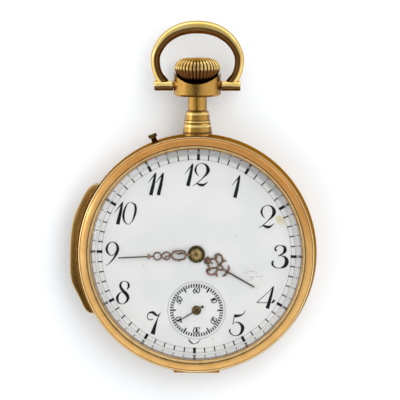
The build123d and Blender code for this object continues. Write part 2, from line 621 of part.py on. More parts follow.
def case_screws():
    """Three screws that hold the movement's edge to the ledge of the case."""
    z1 = PLATE_Z[1]
    screws = []
    for i, angle in enumerate((65, 172, 300)):
        spot = polar(21.2, angle)
        screws.append(slotted_screw_up(spot, 0.9, (z1, z1 + 0.4), 25 + 40 * i))
    return union(screws)


def slotted_screw_up(spot, head_r, head_z, turn):
    screw = disc(head_r, head_z[0], head_z[1], spot)
    slot = Pos(spot[0], spot[1], head_z[1]) * Rot(0, 0, turn) * Box(
        head_r * 2.4, 0.25, 0.3, align=(Align.CENTER, Align.CENTER, Align.CENTER))
    return screw - slot


# ---- Going train
def centre_wheel():
    to_third = heading(CENTRE, THIRD)
    wheel = toothed(CENTRE_TEETH, M_CENTRE, 5.2, 5.45, CENTRE, to_third)
    wheel = crossed_out(wheel, 6.15, 1.2, 5, 0.5, 5.2, 5.45, CENTRE)
    leaves = toothed(CENTRE_PINION, M_BARREL, 6.4, 6.95, CENTRE, heading(CENTRE, BARREL), gap=True)
    arbor = disc(0.3, BRIDGE_Z[0] + 0.2, 11.2) + disc(0.55, 5.45, 6.4)
    return wheel + leaves + arbor


def third_wheel():
    return train_wheel(THIRD_TEETH, M_THIRD, (6.05, 6.3), THIRD_PINION, M_CENTRE, (5.15, 5.6),
                       THIRD, heading(THIRD, FOURTH), heading(THIRD, CENTRE), (4.3, 7.8))


def fourth_wheel():
    wheel = train_wheel(FOURTH_TEETH, M_FOURTH, (5.2, 5.45), FOURTH_PINION, M_THIRD, (5.95, 6.4),
                        FOURTH, heading(FOURTH, ESCAPE), heading(FOURTH, THIRD), (4.3, SECONDS_Z[1]))
    return wheel


def escape_wheel():
    rim = ring(1.95, 1.6, 6.2, 6.45, ESCAPE)
    teeth = []
    for i in range(ESCAPE_TEETH):
        a = i * 360 / ESCAPE_TEETH
        corners = [polar(1.9, a - 5), polar(ESCAPE_R, a + 6), polar(ESCAPE_R - 0.04, a + 9), polar(1.9, a + 5)]
        teeth.append(Pos(ESCAPE[0], ESCAPE[1], 0) * prism(corners, 6.2, 6.45))
    spokes = [bar(ESCAPE, moved(ESCAPE, 1.7, a), 0.25, 6.2, 6.45) for a in (15, 105, 195, 285)]
    leaves = toothed(ESCAPE_PINION, M_FOURTH, 5.15, 5.6, ESCAPE, heading(ESCAPE, FOURTH), gap=True)
    return union([rim] + teeth + spokes + [leaves, disc(ARBOR_R, 4.3, 7.8, ESCAPE)])


def pallet_fork():
    z0, z1 = 6.2, 6.45
    back = LINE_OF_BALANCE + 180
    fork = disc(0.5, z0, z1, PALLET) + disc(ARBOR_R, 5.9, 7.8, PALLET)
    fork = fork + bar(PALLET, moved(PALLET, 2.55, LINE_OF_BALANCE), 0.32, z0, z1)
    for side in (-1, 1):
        stone = moved(ESCAPE, 2.82, LINE_OF_BALANCE + side * 32)
        fork = fork + bar(PALLET, stone, 0.34, z0, z1)
        fork = fork + bar(stone, moved(ESCAPE, 2.62, LINE_OF_BALANCE + side * 30), 0.1, z0, z1)
        tip = moved(PALLET, 2.95, LINE_OF_BALANCE + side * 7)
        fork = fork + bar(moved(PALLET, 2.5, LINE_OF_BALANCE + side * 4), tip, 0.16, z0, z1)
    return fork


def balance_wheel():
    z0, z1 = 5.4, 5.75
    rim = ring(BALANCE_R, BALANCE_R - 0.6, z0, z1, BALANCE)
    arms = bar(moved(BALANCE, 5.6, 20), moved(BALANCE, 5.6, 200), 0.5, z0, z0 + 0.22)
    staff = disc(ARBOR_R, 4.3, 7.8, BALANCE) + disc(0.55, 5.2, z1 + 0.1, BALANCE)
    roller = disc(1.3, 6.58, 6.7, BALANCE)
    pin = disc(0.12, 6.2, 6.6, moved(BALANCE, 1.0, LINE_OF_BALANCE + 180))
    screws = []
    for i in range(16):
        head = Pos(0, 0, 0) * rod_out(0.14, BALANCE_R - 0.05, BALANCE_R + 0.35, 11.25 + i * 22.5, 5.57)
        screws.append(Pos(BALANCE[0], BALANCE[1], 0) * head)
    return union([rim, arms, staff, roller, pin] + screws)


def hairspring():
    """Flat spiral between the balance wheel and its cock."""
    turns = [ring(r, r - 0.07, 5.08, 5.28, BALANCE) for r in (0.95, 1.3, 1.65, 2.0, 2.35, 2.7)]
    link = bar(moved(BALANCE, 0.9, 75), moved(BALANCE, 2.9, 75), 0.08, 5.08, 5.28)
    stud = disc(0.2, BRIDGE_Z[1], 5.28, moved(BALANCE, 2.05, 75))
    return union(turns + [link, stud])


def regulator():
    z0, z1 = 3.62, 3.88
    ring_part = ring(1.5, 0.95, z0, z1, BALANCE)
    away = heading(BALANCE, (0, 0))
    return ring_part + bar(moved(BALANCE, 1.3, away), moved(BALANCE, 4.3, away), 0.4, z0, z1)


# ---- Motion work, dial and hands
def cannon_pinion():
    leaves = toothed(CANNON_TEETH, M_CANNON, 8.45, 8.85, CENTRE, heading(CENTRE, MINUTE_WHEEL))
    pipe = disc(0.55, 8.45, MINUTE_Z[0])
    return leaves + pipe - disc(0.3, 8, 12)


def minute_wheel():
    at = MINUTE_WHEEL
    wheel = toothed(MINUTE_TEETH, M_CANNON, 8.5, 8.72, at, heading(at, CENTRE), gap=True)
    leaves = toothed(MINUTE_PINION, M_HOUR, 8.72, 9.25, at, heading(at, CENTRE))
    return wheel + leaves - disc(0.45 + HOLE_PLAY, 8, 10, at)


def hour_wheel():
    towards = heading(CENTRE, MINUTE_WHEEL)
    wheel = toothed(HOUR_TEETH, M_HOUR, 8.95, 9.2, CENTRE, towards, gap=True)
    return wheel + disc(0.95, 8.95, HOUR_Z[1]) - disc(0.6, 8, 12)


def dial():
    z0, z1 = DIAL_Z
    plate = disc(DIAL_R, z0, z1)
    plate = plate - disc(SUBDIAL_R, z1 - 0.25, z1 + 1, FOURTH)
    plate = plate - disc(1.15, z0 - 1, z1 + 1, CENTRE)
    return plate - disc(0.45, z0 - 1, z1 + 1, FOURTH)


def dial_feet():
    return union([disc(0.42, PLATE_Z[0], DIAL_Z[0], polar(19.3, angle)) for angle in (45, 165, 285)])


def place_hand(shape, clock_angle, at=(0.0, 0.0)):
    return Pos(at[0], at[1], 0) * Rot(0, 0, -clock_angle) * shape


def needle(y0, y1, w0, w1, z):
    return prism([(-w0 / 2, y0), (w0 / 2, y0), (w1 / 2, y1), (-w1 / 2, y1)], z[0], z[1])


def hour_hand():
    z = HOUR_Z
    hub = disc(1.85, z[0], z[1])
    lobes = [ring(1.15, 0.73, z[0], z[1], (side * 1.28, 4.3)) for side in (-1, 1)]
    tips = []
    for side in (-1, 1):
        tips.append(bar((side * 0.2, 6.9), (side * 1.6, 6.15), 0.4, z[0], z[1]))
        tips.append(bar((side * 0.2, 6.9), (side * 1.3, 7.55), 0.36, z[0], z[1]))
    stem = needle(1.5, HOUR_LENGTH, 0.62, 0.26, z)
    hand = union([hub, stem] + lobes + tips) - disc(0.95, z[0] - 1, z[1] + 1)
    return place_hand(hand, HOUR_ANGLE)


def minute_hand():
    z = MINUTE_Z
    hub = disc(1.45, z[0], z[1]) + disc(0.95, z[1], 11.32)
    lobes = [ring(0.8, 0.42, z[0], z[1], (side * 0.62, 3.6)) for side in (-1, 1)]
    strands = [bar((side * 0.5, 5.2), (-side * 0.3, 7.6), 0.3, z[0], z[1]) for side in (-1, 1)]
    eye = ring(0.94, 0.6, z[0], z[1], (0, 8.47))
    stem = needle(1.0, 5.5, 0.5, 0.4, z) + needle(5.2, 7.8, 0.3, 0.3, z)
    point = needle(9.2, 10.6, 0.5, 0.3, z) + needle(10.5, MINUTE_LENGTH, 0.3, 0.2, z)
    hand = union([hub, eye, stem, point] + lobes + strands) - disc(0.3, z[0] - 1, 12)
    return place_hand(hand, MINUTE_ANGLE)


def seconds_hand():
    z = SECONDS_Z
    hand = disc(0.9, z[0], z[1]) + needle(0, SECONDS_LENGTH, 0.3, 0.12, z)
    hand = hand + needle(-1.5, 0, 0.2, 0.2, z) + disc(0.3, z[0], z[1], (0, -1.55))
    return place_hand(hand, SECONDS_ANGLE, FOURTH) - disc(ARBOR_R, z[0] - 1, z[1] + 1, FOURTH)


# ---- Keyless work
def click():
    at = CLICK
    z0, z1 = WHEEL_TOP_Z
    tip = moved(BARREL, 5.05, 6)
    arm = bar(at, tip, 0.5, z0, z1) + disc(0.85, z0, z1, at)
    return arm + disc(0.36, z1, BRIDGE_Z[1], at)


def click_spring():
    z0, z1 = 3.65, 3.9
    start = moved(CLICK, 1.25, -80)
    return bar(start, moved(start, 4.0, 130 - 180), 0.22, z0, z1) + disc(
        0.5, z0, z1, moved(start, 4.0, 130 - 180))


def setting_lever():
    z0, z1 = 6.0, 6.35
    lever = bar(SETTING_PIVOT, (-2.0, 16.1), 0.8, z0, z1)
    lever = lever + bar(SETTING_PIVOT, polar(18.6, PUSHER_ANGLE), 0.9, z0, z1)
    return lever + disc(0.5, z0, PLATE_Z[0] - 0.05, SETTING_PIVOT)


def set_pusher():
    rod = rod_out(PUSHER_ROD_R, 20.0, 27.0, PUSHER_ANGLE, AXIS_Z)
    button = rod_out(PUSHER_R, 26.85, 27.6, PUSHER_ANGLE, AXIS_Z)
    return rod + button


def slide_outline():
    """Plan of the repeater slide: arc along the band and a long swelling finger edge."""
    upper, middle, lower = (polar(SLIDE_INNER_R, 180 - a) for a in (35.0, 2.0, -31.0))
    finger_edge = [(27.05, -29.3), (27.55, -21.5), (28.12, -13.5), (27.85, -4.5), (27.76, 5.0),
                   (27.92, 16.0), (27.7, 24.7), (27.0, 33.2)]
    outer = [lower] + [polar(r, 180 - a) for r, a in finger_edge] + [upper]
    return make_face([ThreePointArc(upper, middle, lower), Spline(*outer)])


def repeater_slide():
    z0, z1 = SLIDE_Z
    plate = Pos(0, 0, z0) * extrude(slide_outline(), z1 - z0)
    stud = sector(SLIDE_INNER_R + 0.3, 22.15, STUD_ANGLE - 1.6, STUD_ANGLE + 1.6, 5.65, 6.1)
    return plate + stud


def repeater_rack():
    a0, a1 = 180 - 47.0, STUD_ANGLE + 2.2
    pitch = 360.0 / RACK_TEETH
    rack = sector(RACK_R[1], RACK_R[0] + 0.25, a0, a1, RACK_Z[0], RACK_Z[1])
    first = 135.0
    for i in range(-1, 12):
        angle = first + pitch / 2 + i * pitch
        rack = rack + sector(RACK_R[0] + 0.3, RACK_R[0] - 0.16, angle - 0.17 * pitch, angle + 0.17 * pitch,
                             RACK_Z[0], RACK_Z[1])
    lug = sector(22.15, RACK_R[1] - 0.1, STUD_ANGLE - 1.6, STUD_ANGLE + 1.6, 5.65, 6.1)
    return rack + lug


def repeater_barrel():
    pinion = toothed(REPEATER_PINION, M_RACK, RACK_Z[0], RACK_Z[1], REPEATER, 135)
    wheel = toothed(REPEATER_TEETH, M_GOVERNOR, 6.35, 6.6, REPEATER, heading(REPEATER, GOVERNOR))
    return pinion + wheel + disc(1.6, 6.2, 6.35, REPEATER) + disc(ARBOR_R, 4.0, 7.8, REPEATER)


def governor():
    leaves = toothed(GOVERNOR_PINION, M_GOVERNOR, 6.3, 6.65, GOVERNOR, heading(GOVERNOR, REPEATER), gap=True)
    weights = bar(moved(GOVERNOR, 1.2, 20), moved(GOVERNOR, 1.2, 200), 0.5, 5.15, 5.35)
    ends = [disc(0.5, 5.15, 5.35, moved(GOVERNOR, 1.2, a)) for a in (20, 200)]
    return union([leaves, weights, disc(ARBOR_R, 4.0, 7.8, GOVERNOR)] + ends)


def hammer(angle):
    """Gong hammer: pivot, curved arm and heavy head."""
    z = (4.1, 4.9)
    pivot = polar(16.0, angle)
    head = polar(19.3, angle - 20)
    body = bar(pivot, head, 0.9, z[0], z[1]) + disc(1.1, z[0], z[1], pivot)
    face = Rot(0, 0, angle - 20) * Pos(19.3, 0, z[0]) * Box(
        1.9, 2.6, z[1] - z[0], align=(Align.CENTER, Align.CENTER, Align.MIN))
    return body + face + disc(0.35, z[1], PLATE_Z[0], pivot)


def gongs():
    """Two round gong wires on one foot."""
    wires = []
    for r, z in ((21.3, 4.3), (21.3, 5.1)):
        wires.append(sector(r + 0.25, r - 0.25, GONG_ANGLE + 8, GONG_ANGLE - 8 + 350, z - 0.2, z + 0.2))
    return union([wires[0], wires[1]])


def gong_block():
    return sector(21.8, 20.4, GONG_ANGLE - 7.9, GONG_ANGLE + 7.9, 4.0, PLATE_Z[0] - 0.65)


NODES = {
    "case_middle": case_middle, "back_cover": back_cover, "cuvette": cuvette, "bezel": bezel,
    "crystal": crystal, "pendant": pendant, "bow": bow, "bow_screws": bow_screws, "crown": crown,
    "winding_stem": winding_stem, "winding_pinion": winding_pinion, "sliding_pinion": sliding_pinion,
    "crown_wheel": crown_wheel, "ratchet_wheel": ratchet_wheel, "barrel_arbor": barrel_arbor,
    "mainspring_barrel": mainspring_barrel, "mainspring": mainspring, "main_plate": main_plate,
    "barrel_bridge": barrel_bridge, "train_bridge": train_bridge, "balance_cock": balance_cock,
    "pallet_bridge": pallet_bridge, "bridge_jewels": bridge_jewels, "plate_jewels": plate_jewels,
    "bridge_screws": bridge_screws, "case_screws": case_screws, "centre_wheel": centre_wheel,
    "third_wheel": third_wheel, "fourth_wheel": fourth_wheel, "escape_wheel": escape_wheel,
    "pallet_fork": pallet_fork, "balance_wheel": balance_wheel, "hairspring": hairspring,
    "regulator": regulator, "cannon_pinion": cannon_pinion, "minute_wheel": minute_wheel,
    "hour_wheel": hour_wheel, "dial": dial, "dial_feet": dial_feet, "hour_hand": hour_hand,
    "minute_hand": minute_hand, "seconds_hand": seconds_hand, "click": click,
    "click_spring": click_spring, "setting_lever": setting_lever, "set_pusher": set_pusher,
    "repeater_slide": repeater_slide, "repeater_rack": repeater_rack,
    "repeater_barrel": repeater_barrel, "governor": governor, "gongs": gongs, "gong_block": gong_block,
}

os.makedirs("parts", exist_ok=True)
for name, make in NODES.items():
    export_step(make(), f"parts/{name}.step")
for name, angle in zip(("hour_hammer", "quarter_hammer"), HAMMER_ANGLES):
    export_step(hammer(angle), f"parts/{name}.step")
PINS = {"back_hinge_pin": (KNUCKLE_X[1], LID_HINGE_Y, BACK_HINGE_Z),
        "bezel_hinge_pin": (KNUCKLE_X[1], LID_HINGE_Y, BEZEL_HINGE_Z),
        "cuvette_hinge_pin": (CUVETTE_KNUCKLE_X[1], CUVETTE_HINGE_Y, CUVETTE_HINGE_Z)}
for name, (half, y, z) in PINS.items():
    export_step(hinge_pin(half, y, z), f"parts/{name}.step")
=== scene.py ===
import json
import math

import bmesh
import bpy
from mathutils import Matrix, Vector


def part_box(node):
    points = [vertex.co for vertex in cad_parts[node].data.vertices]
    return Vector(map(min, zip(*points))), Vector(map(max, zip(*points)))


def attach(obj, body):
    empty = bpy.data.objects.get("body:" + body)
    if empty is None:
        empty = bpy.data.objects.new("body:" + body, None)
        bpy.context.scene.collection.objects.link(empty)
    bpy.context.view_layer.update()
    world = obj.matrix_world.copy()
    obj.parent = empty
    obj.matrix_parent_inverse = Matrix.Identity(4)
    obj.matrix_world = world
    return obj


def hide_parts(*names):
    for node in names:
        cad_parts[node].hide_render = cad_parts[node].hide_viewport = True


# Open-face repeater pocket watch on a pale floor, seen from nearly straight above.
# Lengths in this script are millimetres until a mesh is made, which is in metres.

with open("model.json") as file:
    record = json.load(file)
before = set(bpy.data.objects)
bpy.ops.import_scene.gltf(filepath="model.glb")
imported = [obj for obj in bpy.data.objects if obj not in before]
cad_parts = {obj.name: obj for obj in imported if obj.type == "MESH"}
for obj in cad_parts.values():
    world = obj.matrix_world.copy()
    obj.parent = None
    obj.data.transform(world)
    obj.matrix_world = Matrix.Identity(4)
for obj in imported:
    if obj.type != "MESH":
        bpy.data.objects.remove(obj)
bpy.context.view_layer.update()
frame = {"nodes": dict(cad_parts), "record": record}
NODES = frame["nodes"]
MM = 0.001

# ---- Dial and hands
HOUR_CLOCK = 119.5          # directions of the hands, clockwise from 12
MINUTE_CLOCK = 267.1
SECONDS_CLOCK = 239.0
DIAL_TURN = 1.2             # the dial sits turned a little clockwise
NUMERAL_RING = 17.65        # radius of the middles of the hour numerals
NUMERAL_HEIGHT = 4.95
NUMERAL_SHIFT = {           # hand-painted, so none sits quite on the ring
    1: (-0.54, -0.30), 2: (-0.28, -0.26), 3: (0.41, -0.1), 4: (-0.1, -0.2), 5: (0.41, 0.38),
    7: (-0.1, 0.0), 8: (-0.54, 0.0), 9: (-0.80, -0.38), 10: (-0.37, -0.28), 11: (-0.33, -0.18),
    12: (-0.33, -0.33)}
TRACK_R = (20.6, 21.55)     # the two lines of the minute track
DOT_R = 22.4                # marks outside the track
SUB_RING = 4.36             # radius of the seconds numerals
SUB_HEIGHT = 1.18
SUB_TRACK_R = (5.1, 5.75)
SUB_LINE_R = 6.25           # fine line round the seconds dial
SUB_DEPTH = 0.25            # how deep the seconds dial is sunk
PRINT_HEIGHT = 0.012        # thickness of the fired black
LINE_HALF = 0.03            # half the width of the finest printed lines
DOT_SIDES = 14
HOUR_HAND_THICK = 0.22
MINUTE_HAND_THICK = 0.2
SECONDS_HAND_THICK = 0.1
CHIP_MARKS = (              # place, size and tone of chips and age spots in the enamel
    ((18.3, 7.6), 1.1, (0.66, 0.60, 0.42)),
    ((16.9, -10.2), 0.28, (0.30, 0.27, 0.20)),
    ((3.5, -18.4), 0.22, (0.60, 0.52, 0.30)),
    ((8.5, 3.9), 0.16, (0.40, 0.36, 0.26)),
    ((-11.5, -2.5), 0.12, (0.45, 0.42, 0.34)))
SCUFFS_AT = (12.4, -4.9)    # scuffed patch by the 4

# ---- Case
GLASS_R = 23.05
GLASS_RINGS = (             # grey rings painted at the bevel's edges as reflection: (radius, half width, strength)
    (21.86, 0.14, 0.5), (22.55, 0.1, 0.25), (22.95, 0.2, 0.45))
CROWN_FLUTES = 36
FLUTE_DEPTH = 0.42
BARREL_R = 1.07             # cross barrels at the feet of the bow

# ---- Colours
# painted shade: dark brown laid in grooves, on faces that would mirror dark, and on the shaded halves
# of the bow, crown and barrels
PAINTED_SHADE_BROWN = (0.10, 0.037, 0.009)
# painted shade: dark olive on steep flanks
PAINTED_SHADE_OLIVE = (0.22, 0.13, 0.035)
# painted highlight: pale lines on the bezel
PAINTED_HIGHLIGHT_GOLD = (1.0, 0.86, 0.50)
BROWN_GOLD = (0.50, 0.245, 0.07)
# painted shade: darker orange towards 12 on the bezel
PAINTED_SHADE_ORANGE = (0.66, 0.27, 0.06)
GOLD_GRAZING = (0.7, 0.42, 0.13)    # tint of gold seen along its surface

# ---- Studio
DIM_SIDE = (0.259, 0.966, 0.0)      # the room is dimmer beyond 1 o'clock, except near the table
HOOD = (-0.098, -0.184, 0.978)      # dark patch overhead, where flat polished faces mirror
PICTURE_WIDTH = 86.88               # of the object's plane, in millimetres
CAMERA_DISTANCE = 1.2               # metres
CAMERA_AIM = (0.70, 11.67, 9.0)     # point of the watch in the middle of the picture
CAMERA_FROM = (62, 84)              # azimuth and elevation, so it leans 6 degrees towards 1 o'clock

# Digits are pen strokes of (x, y, width) on a grid where a digit is 100 high, base line at 0.
DIGITS = {
    "0": (((35, 99, 2), (52, 87, 7), (56, 69, 9), (52, 45, 8.5), (41, 15, 4), (24, 1, 2), (7, 13, 6),
           (2, 40, 9), (8, 68, 7), (20, 91, 3), (35, 99, 2)),),
    "1": (((37, 100, 2), (33.5, 86.5, 8), (24.7, 44, 12), (14, 0, 14)),
          ((35.3, 96, 6), (29, 87, 5), (16, 72, 3.5), (2.5, 53, 1.5))),
    "2": (((29, 44, 2), (20, 54, 5), (14.5, 71, 8), (22, 91, 4), (42, 100, 2.5), (62, 91, 8),
           (70, 71, 14), (63, 53, 9), (45.5, 34.6, 4), (24, 14.6, 3), (2, 1, 2)),
          ((2, 1, 1.5), (20, 10, 4), (33, 6, 10), (46, 4, 10), (60, 11, 5), (69, 20, 1.5))),
    "3": (((21, 74, 5), (16, 78, 7.5), (15, 87, 6), (24, 96.6, 4.5), (38, 99, 2.5), (53.5, 92, 9),
           (57, 78, 12), (48, 64, 7), (25.5, 52.5, 2)),
          ((25.5, 52.5, 2), (40, 54, 2.5), (54, 49, 7), (63.5, 37, 13), (63, 22, 15), (53.5, 8, 10),
           (34, 0.5, 3), (15, 3.5, 4), (3.5, 15, 7.5), (3, 27, 7), (8, 31, 4))),
    "4": (((76, 100, 2), (70, 80, 8), (60, 42, 11), (47.5, 0, 14)),
          ((74.5, 98, 3), (50, 71, 2.5), (1, 27, 3)),
          ((1, 27, 3), (40, 26, 3), (62, 26, 3), (70, 27, 6), (74, 33, 7), (78, 42, 1.5))),
    "5": (((21, 80, 10), (24, 79.6, 11), (34, 80, 9), (46.5, 82, 6), (58, 89.4, 3), (64, 100, 1)),
          ((22, 84, 3), (19, 65, 2.5), (15.6, 47, 2.5)),
          ((14, 46, 1.5), (27, 54.6, 2), (43, 50.4, 7), (54, 34, 12), (48, 13, 8), (33.5, 2.6, 3),
           (17.2, 3.3, 3), (5, 13, 5), (3, 22.7, 5), (8, 27.6, 1.5))),
    "6": (((55, 100, 1), (43.5, 93.5, 3), (27.4, 77.4, 4.5), (10, 51.6, 7), (4, 29, 9.5), (10, 10, 6),
           (26, 0.6, 2.5), (42, 8, 4), (51, 29, 7.5), (47, 45, 6), (31, 58, 3), (12, 48, 2)),),
    "7": (((26.6, 68, 4), (16.4, 63.4, 4), (4.4, 69, 3.5), (2.5, 84.6, 3), (13, 95.5, 6),
           (26.6, 96, 11), (38.5, 87, 10), (48.8, 83, 5), (60, 96, 1.5)),
          ((60, 96, 1.5), (54, 84, 2.5), (47, 69, 4), (38, 44, 9), (25, 0, 18))),
    "8": (((45, 62, 2), (53, 77, 8), (50, 92, 6), (35.5, 99, 2), (21, 92, 6), (17.7, 77.4, 9),
           (27.4, 60, 11), (43, 43.5, 13), (50, 28.6, 11), (43.5, 12, 6.5), (27.4, 1.6, 2.5),
           (9.7, 8, 6), (4, 27.4, 10), (11.3, 43.5, 6), (22.6, 53.2, 2)),),
    "9": (((43.5, 52, 2), (24, 42, 3), (9, 55, 7), (5, 71, 8.5), (13, 91, 5), (29, 99.4, 2.5),
           (45, 90, 7), (51, 71, 10.5), (45, 48.4, 8), (27.4, 22.6, 5), (11.3, 6.5, 3), (0, 0, 1)),
          ((24, 42, 2), (36, 48, 2), (44, 63, 2))),
}
ADVANCE = {"1": 33.0}
DEFAULT_ADVANCE = 66.0
WIDE_PAIR = {"10": 5.0}
TALL_DIGITS = {"5": 1.12, "9": 1.06, "8": 1.03, "3": 1.02}

# Cross-sections of strokes and rings: (share of half the width, share of the height)
FLAT = ((-1.0, 0.0), (-1.0, 1.0), (1.0, 1.0), (1.0, 0.0))
ROUND = ((-1.0, 0.0), (-0.97, 0.45), (-0.72, 0.82), (0.0, 1.0), (0.72, 0.82), (0.97, 0.45), (1.0, 0.0))


def level(node, top=True):
    """Height of a CAD node's top or bottom in millimetres."""
    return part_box(node)[1 if top else 0].z / MM


def middle(node):
    low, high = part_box(node)
    return (low + high) / 2 / MM


def on_circle(r, clock):
    """Point at radius r, clock degrees clockwise from 12."""
    a = math.radians(clock)
    return (r * math.sin(a), r * math.cos(a))


SUB_CENTRE = (middle("fourth_wheel").x, middle("fourth_wheel").y)
SUB_FLOOR = level("dial") - SUB_DEPTH


# ---------------------------------------------------------------- mesh tools
def finish_mesh(bm, name, material, body, smooth=True):
    """Turns a bmesh in millimetres into a piece that rides on a body."""
    bmesh.ops.remove_doubles(bm, verts=bm.verts, dist=1e-5)
    bmesh.ops.recalc_face_normals(bm, faces=bm.faces)
    bmesh.ops.scale(bm, vec=(MM, MM, MM), verts=bm.verts)
    mesh = bpy.data.meshes.new(name)
    bm.to_mesh(mesh)
    bm.free()
    piece = bpy.data.objects.new(name, mesh)
    bpy.context.scene.collection.objects.link(piece)
    mesh.materials.append(material)
    for face in mesh.polygons:
        face.use_smooth = smooth
    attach(piece, body)
    return piece


def bevelled(piece, width, angle, harden=False):
    """Rounds the edges that are sharper than an angle in degrees."""
    mod = piece.modifiers.new("bevel", "BEVEL")
    mod.width = width * MM
    mod.segments = 2
    mod.limit_method = "ANGLE"
    mod.angle_limit = math.radians(angle)
    mod.harden_normals = harden


def curve_through(points, steps):
    """Catmull-Rom curve through points of any dimension."""
    path = []
    last = len(points) - 1
    for i in range(last):
        p0 = points[max(i - 1, 0)]
        p1 = points[i]
        p2 = points[i + 1]
        p3 = points[min(i + 2, last)]
        for k in range(steps):
            t = k / steps
            path.append([0.5 * (2 * b + (c - a) * t + (2 * a - 5 * b + 4 * c - d) * t * t
                                + (3 * b - a - 3 * c + d) * t ** 3)
                         for a, b, c, d in zip(p0, p1, p2, p3)])
    path.append(list(points[-1]))
    return path


def skin(bm, rings):
    """Faces from each ring of vertices to the next. A ring may be a single point."""
    for a, b in zip(rings, rings[1:]):
        count = max(len(a), len(b))
        for i in range(count):
            k = (i + 1) % count
            if len(a) == 1:
                bm.faces.new((a[0], b[i], b[k]))
            elif len(b) == 1:
                bm.faces.new((a[i], a[k], b[0]))
            else:
                bm.faces.new((a[i], a[k], b[k], b[i]))


def clamped(value):
    return min(1.0, max(0.0, value))


def add_stroke(bm, points, z0, height, section=FLAT, steps=6):
    """Closed strip along (x, y, width) points, like a pen stroke."""
    path = curve_through(points, steps)
    rows = []
    for i, (x, y, width) in enumerate(path):
        before = path[max(i - 1, 0)]
        after = path[min(i + 1, len(path) - 1)]
        dx = after[0] - before[0]
        dy = after[1] - before[1]
        length = math.hypot(dx, dy) or 1.0
        nx, ny = dy / length, -dx / length
        half = max(width, 0.01) / 2
        rows.append([bm.verts.new((x + nx * half * s, y + ny * half * s, z0 + height * h))
                     for s, h in section])
    skin(bm, rows)
    bm.faces.new(rows[0])
    bm.faces.new(list(reversed(rows[-1])))


def add_ring(bm, r_in, r_out, z0, height, at=(0.0, 0.0), segments=180, section=FLAT):
    """Flat or rounded ring, closed all round."""
    mid = (r_in + r_out) / 2
    half = (r_out - r_in) / 2
    rows = []
    for i in range(segments):
        a = 2 * math.pi * i / segments
        rows.append([bm.verts.new((at[0] + (mid + half * s) * math.cos(a),
                                   at[1] + (mid + half * s) * math.sin(a), z0 + height * h))
                     for s, h in section])
    skin(bm, rows + rows[:1])


def add_dot(bm, x, y, r, z0, height):
    """Low round disc."""
    top = []
    low = []
    for i in range(DOT_SIDES):
        a = 2 * math.pi * i / DOT_SIDES
        top.append(bm.verts.new((x + r * math.cos(a), y + r * math.sin(a), z0 + height)))
        low.append(bm.verts.new((x + r * math.cos(a), y + r * math.sin(a), z0)))
    bm.faces.new(top)
    bm.faces.new(list(reversed(low)))
    skin(bm, (low, top))


def add_lathe(bm, profile, at=(0.0, 0.0), segments=96):
    """Solid turned about a vertical axis from (radius, z) points that start and end at radius 0."""
    rings = []
    for r, z in profile:
        if r < 1e-6:
            rings.append([bm.verts.new((at[0], at[1], z))])
            continue
        rings.append([bm.verts.new((at[0] + r * math.cos(2 * math.pi * i / segments),
                                    at[1] + r * math.sin(2 * math.pi * i / segments), z))
                      for i in range(segments)])
    skin(bm, rings)


def turn_and_place(bm, clock, at=(0.0, 0.0)):
    """Turns a hand drawn along +Y to its clock direction about its own axis."""
    a = -math.radians(clock)
    c, s = math.cos(a), math.sin(a)
    for v in bm.verts:
        x, y = v.co.x, v.co.y
        v.co.x = at[0] + x * c - y * s
        v.co.y = at[1] + x * s + y * c


